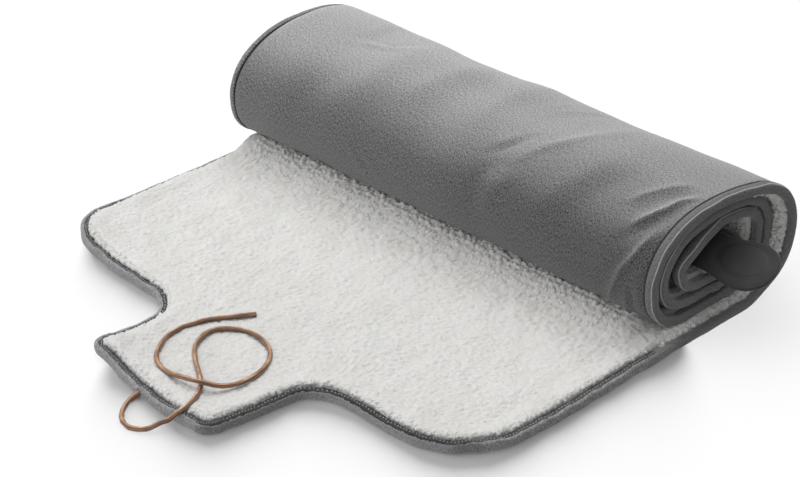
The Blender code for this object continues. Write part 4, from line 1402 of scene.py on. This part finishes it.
tab, tab_st = tab_piece()
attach(tab, "root")
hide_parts("control_tab")


def button_piece():
    h = TAB_HEAD
    along = Vector(h["along"]).normalized()
    w = lean_dir(along, h["lean"])
    up = w.cross(along).normalized()
    if up.y > 0:
        up = -up
    mid = (Vector(h["start"]) + along * BUTTON_AT + w * 0.0022
           + Vector((MAT_X, FRAME_Y, 0)))
    base = TAB_T * 0.5
    sides = 96
    levels = [
        # share of the oval's size, height in mm
        (1.06, -0.30), (1.05, -0.05), (1.03, 0.10), (1.00, 0.14), (0.97, 0.08), (0.945, 0.06),
        (0.92, 0.16), (0.89, 0.40), (0.85, 0.62), (0.78, 0.80), (0.66, 0.95), (0.50, 1.06),
        (0.28, 1.14), (0.08, 1.16),
    ]
    verts, faces = [], []
    for share, height in levels:
        for k in range(sides):
            t = 2 * pi * k / sides
            verts.append(mid + along * (BUTTON_A * share * cos(t)) + w * (BUTTON_B * share * sin(t))
                         + up * (base + height / 1000))
    for i in range(len(levels) - 1):
        for k in range(sides):
            k2 = (k + 1) % sides
            faces.append((i * sides + k, i * sides + k2, (i + 1) * sides + k2, (i + 1) * sides + k))
    faces.append(tuple(reversed(range(sides))))
    faces.append(tuple((len(levels) - 1) * sides + k for k in range(sides)))
    ob = new_mesh("button", [tuple(v) for v in verts], faces, BUTTON_BLACK)
    bm = bmesh.new()
    bm.from_mesh(ob.data)
    bmesh.ops.recalc_face_normals(bm, faces=bm.faces[:])
    bm.to_mesh(ob.data)
    bm.free()
    ob.data.shade_smooth()
    return ob


button = button_piece()
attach(button, "root")
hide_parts("control_button")

# -------------------------------------------------------------- floor, lights
fm, fnt, fp, _ = nodes_of("floor_white")
fp.inputs["Base Color"].default_value = (0.80, 0.80, 0.80, 1.0)
fp.inputs["Roughness"].default_value = 0.9
fp.inputs["Specular IOR Level"].default_value = 0.1
floor = new_mesh("floor", [(-6, -6, -0.0002), (6, -6, -0.0002), (6, 6, -0.0002), (-6, 6, -0.0002)],
                 [(0, 1, 2, 3)], fm, smooth=False)
floor.visible_diffuse = False      # the studio's own fill stands for its bounce
floor.visible_shadow = False


def wide_sun(name, toward, elevation, spread, power):
    """Light from a wide patch of sky: its compass direction in degrees (0 is from
    +Y, 90 from +X), its height and its breadth."""
    data = bpy.data.lights.new(name, "SUN")
    data.energy = power
    data.angle = radians(spread)
    az, el = radians(toward), radians(elevation)
    d = Vector((sin(az) * cos(el), cos(az) * cos(el), sin(el)))
    ob = bpy.data.objects.new(name, data)
    ob.location = d * 2.0
    ob.rotation_mode = "QUATERNION"
    ob.rotation_quaternion = (-d).to_track_quat("-Z", "Y")
    bpy.context.scene.collection.objects.link(ob)
    return ob


key = wide_sun("key_above", -38, 66, 60, 1.72)
low = wide_sun("low_back", -45, 13, 27, 9.9)
roof = wide_sun("roof_back", -45, 32, 34, 7.3)

# The key lights the mat. The low light draws the long soft shadow of the flap's
# edge on the floor, as in the photograph, and nothing else.
mat_only = bpy.data.collections.new("lit_by_key")
for ob in list(bpy.context.scene.collection.objects):
    if ob.type == "MESH" and ob is not floor:
        mat_only.objects.link(ob)
key.light_linking.receiver_collection = mat_only
roof_only = bpy.data.collections.new("lit_by_roof")     # the cloth's far slope
roof_only.objects.link(cotton)
roof.light_linking.receiver_collection = roof_only
floor_only = bpy.data.collections.new("lit_by_low")
floor_only.objects.link(floor)
low.light_linking.receiver_collection = floor_only
flap_only = bpy.data.collections.new("in_the_low_light")
flap_only.objects.link(fleece_flap_ob)
low.light_linking.blocker_collection = flap_only

world = bpy.data.worlds.new("studio")
world.use_nodes = True
bg = world.node_tree.nodes["Background"]
bg.inputs["Color"].default_value = (1.0, 1.0, 1.0, 1.0)
bg.inputs["Strength"].default_value = 1.0
wnt = world.node_tree             # a soft room: light from the left, dark to the right
way = add(wnt, "ShaderNodeTexCoord").outputs["Generated"]
axes = add(wnt, "ShaderNodeSeparateXYZ")
wnt.links.new(way, axes.inputs[0])
level = math(wnt, "ADD", 0.53, math(wnt, "MULTIPLY", axes.outputs["X"], -0.33))
level = math(wnt, "ADD", level, math(wnt, "MULTIPLY", axes.outputs["Y"], -0.30))
wnt.links.new(math(wnt, "MAXIMUM", level, 0.03), bg.inputs["Strength"])
bpy.context.scene.world = world
bpy.context.scene.view_settings.view_transform = "Standard"
bpy.context.scene.view_settings.look = "None"
bpy.context.scene.view_settings.exposure = 0.0
bpy.context.scene.view_settings.gamma = 1.0
